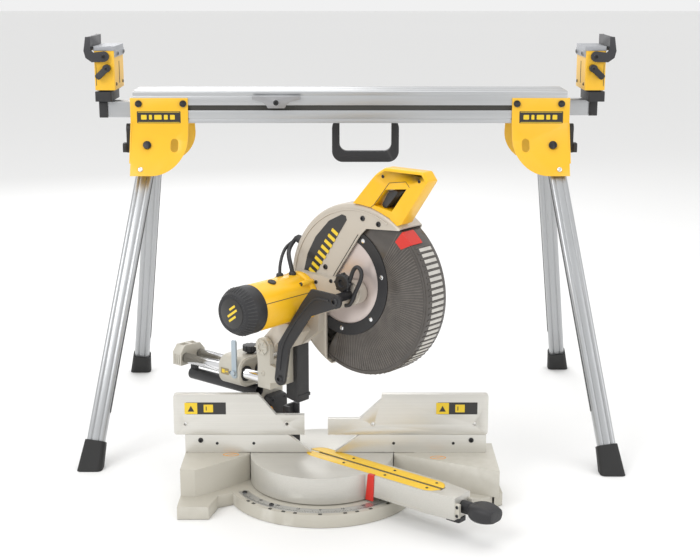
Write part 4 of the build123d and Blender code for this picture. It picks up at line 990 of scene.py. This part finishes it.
def base_details():
    top = Face((PIVOT.x, PIVOT.y, 0.027), (1, 0, 0), (0, 1, 0))
    # etched mitre scale round the front of the deck
    centre = (0.0, 0.0)
    band = ring_piece("mitre_scale", top, centre, 0.1690, 0.1890, (204, 346), 0.0, 0.0012, "scale",
                      "saw", 0.0002)
    ticks = bmesh.new()
    for i in range(121):
        angle = 210 + i
        long = i % 5 == 0
        inner = 0.1790 if long else 0.1830
        start = arc(*centre, inner, angle, angle, 1)[0]
        end = arc(*centre, 0.1885, angle, angle, 1)[0]
        add_bar(ticks, top, start, end, 0.0005, 0.0012, 0.0014)
    finish_piece("mitre_scale_ticks", ticks, "label", "saw")
    # detent notches round the edge of the deck
    rim = bmesh.new()
    for degrees_round in (-50, -45, -31.6, -22.5, -15, 0, 15, 22.5, 31.6, 45, 50):
        angle = 270 + degrees_round
        x, y = arc(*centre, 0.1945, angle, angle, 1)[0]
        add_prism(rim, top, box_outline(x, y, 0.006, 0.0075, 0.001, radians(angle)), 0.0, 0.0006)
    finish_piece("detent_notches", rim, "pocket", "saw", 0)
    spots = [arc(*centre, 0.1790, angle, angle, 1)[0] for angle in (207, 236, 343)]
    screws("scale_screws", [top.at(x, y, 0.0012) for x, y in spots], UP, 0.0052, 0.003, "bolt", "saw")
    scale_numbers(top, centre)
    # printed ovals on the wings, where hands stay clear
    wing = Face((PIVOT.x, PIVOT.y, 0.086), (1, 0, 0), (0, 1, 0))
    for side, x, y in (("left", -0.193, -0.012), ("right", 0.246, -0.030)):
        points = [(x + 0.017 * cos(2 * pi * i / 32), y + 0.010 * sin(2 * pi * i / 32)) for i in range(32)]
        inner = [(x + 0.0145 * cos(2 * pi * i / 32), y + 0.0078 * sin(2 * pi * i / 32)) for i in range(32)]
        mesh_data = bmesh.new()
        add_ring(mesh_data, wing, points, inner, 0, 0.0002)
        add_prism(mesh_data, wing, box_outline(x, y, 0.022, 0.0016, 0, 0.5), 0, 0.0002)
        finish_piece(f"wing_mark_{side}", mesh_data, "orange", "saw")
    feet = bmesh.new()
    for x in (-0.272, 0.352):
        for y in (-0.040, 0.045):
            add_turned(feet, Vector((PIVOT.x + x, PIVOT.y + y, 0.0)), UP,
                       [(0.010, 0), (0.010, 0.003), (0.008, 0.004)], 24)
    finish_piece("base_pads", feet, "rubber", "saw")


def scale_numbers(top, centre):
    """Angle numbers on the mitre scale, every fifteen degrees."""
    for value in range(-45, 46, 15):
        angle = 270 + value
        x, y = arc(*centre, 0.1742, angle, angle, 1)[0]
        text = bpy.data.curves.new(f"scale_number_{value}", "FONT")
        text.body = str(abs(value))
        text.size = 0.0088
        text.align_x = "CENTER"
        text.align_y = "CENTER"
        text.extrude = 0.0001
        number = bpy.data.objects.new(f"scale_number_{value % 360}", text)
        number.location = top.at(x, y, 0.0014)
        number.rotation_euler = (0, 0, radians(value))
        bpy.context.scene.collection.objects.link(number)
        text.materials.append(FINISH["label"])
        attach(number, "saw")


def arm_details():
    top = arm_face(0.086)
    spots = [top.at(s, n, -0.0002) for s in (0.075, 0.185, 0.292) for n in (-0.0165, 0.0165)]
    screws("kerf_screws", spots, UP, 0.0030, 0.0009, "bolt", "table")
    # cast end block with its latch pins
    end = Face(saw_point(0.367, 0, 0), -LEFTWARD, UP)
    lugs = bmesh.new()
    for n in (-0.0215, 0.0215):
        add_prism(lugs, end, box_outline(n, 0.060, 0.007, 0.030, 0.003), -0.004, 0.010)
    finish_piece("arm_end_lugs", lugs, "base", "table", 0.0012)
    pins = bmesh.new()
    for s, z in ((0.372, 0.068), (0.372, 0.050)):
        add_screw(pins, saw_point(s, 0.0250, z), LEFTWARD, 0.0035, 0.0016)
        add_screw(pins, saw_point(s, -0.0250, z), -LEFTWARD, 0.0035, 0.0016)
    finish_piece("arm_end_pins", pins, "bolt", "table")
    slope = bmesh.new()
    add_prism(slope, side_face(0.0325), box_outline(0.240, 0.045, 0.110, 0.002), 0.0008, 0.0018)
    finish_piece("arm_side_rib", slope, "base", "table", 0.0004)
    handle_ribs()


def handle_ribs():
    """Grip rings on the mitre handle."""
    mesh_data = bmesh.new()
    face = cross_face(0)
    for ahead, wide, tall in ((0.402, 0.0465, 0.0304), (0.408, 0.0474, 0.0308), (0.414, 0.0483, 0.0313)):
        outer = box_outline(0, 0.062, wide + 0.0012, tall + 0.0012, 0.0115)
        inner = box_outline(0, 0.062, wide - 0.003, tall - 0.003, 0.0100)
        add_ring(mesh_data, face, outer, inner, ahead - 0.0009, ahead + 0.0009)
    finish_piece("mitre_handle_rings", mesh_data, "black", "mitre_handle", 0.0003)


fence_details()
base_details()
arm_details()
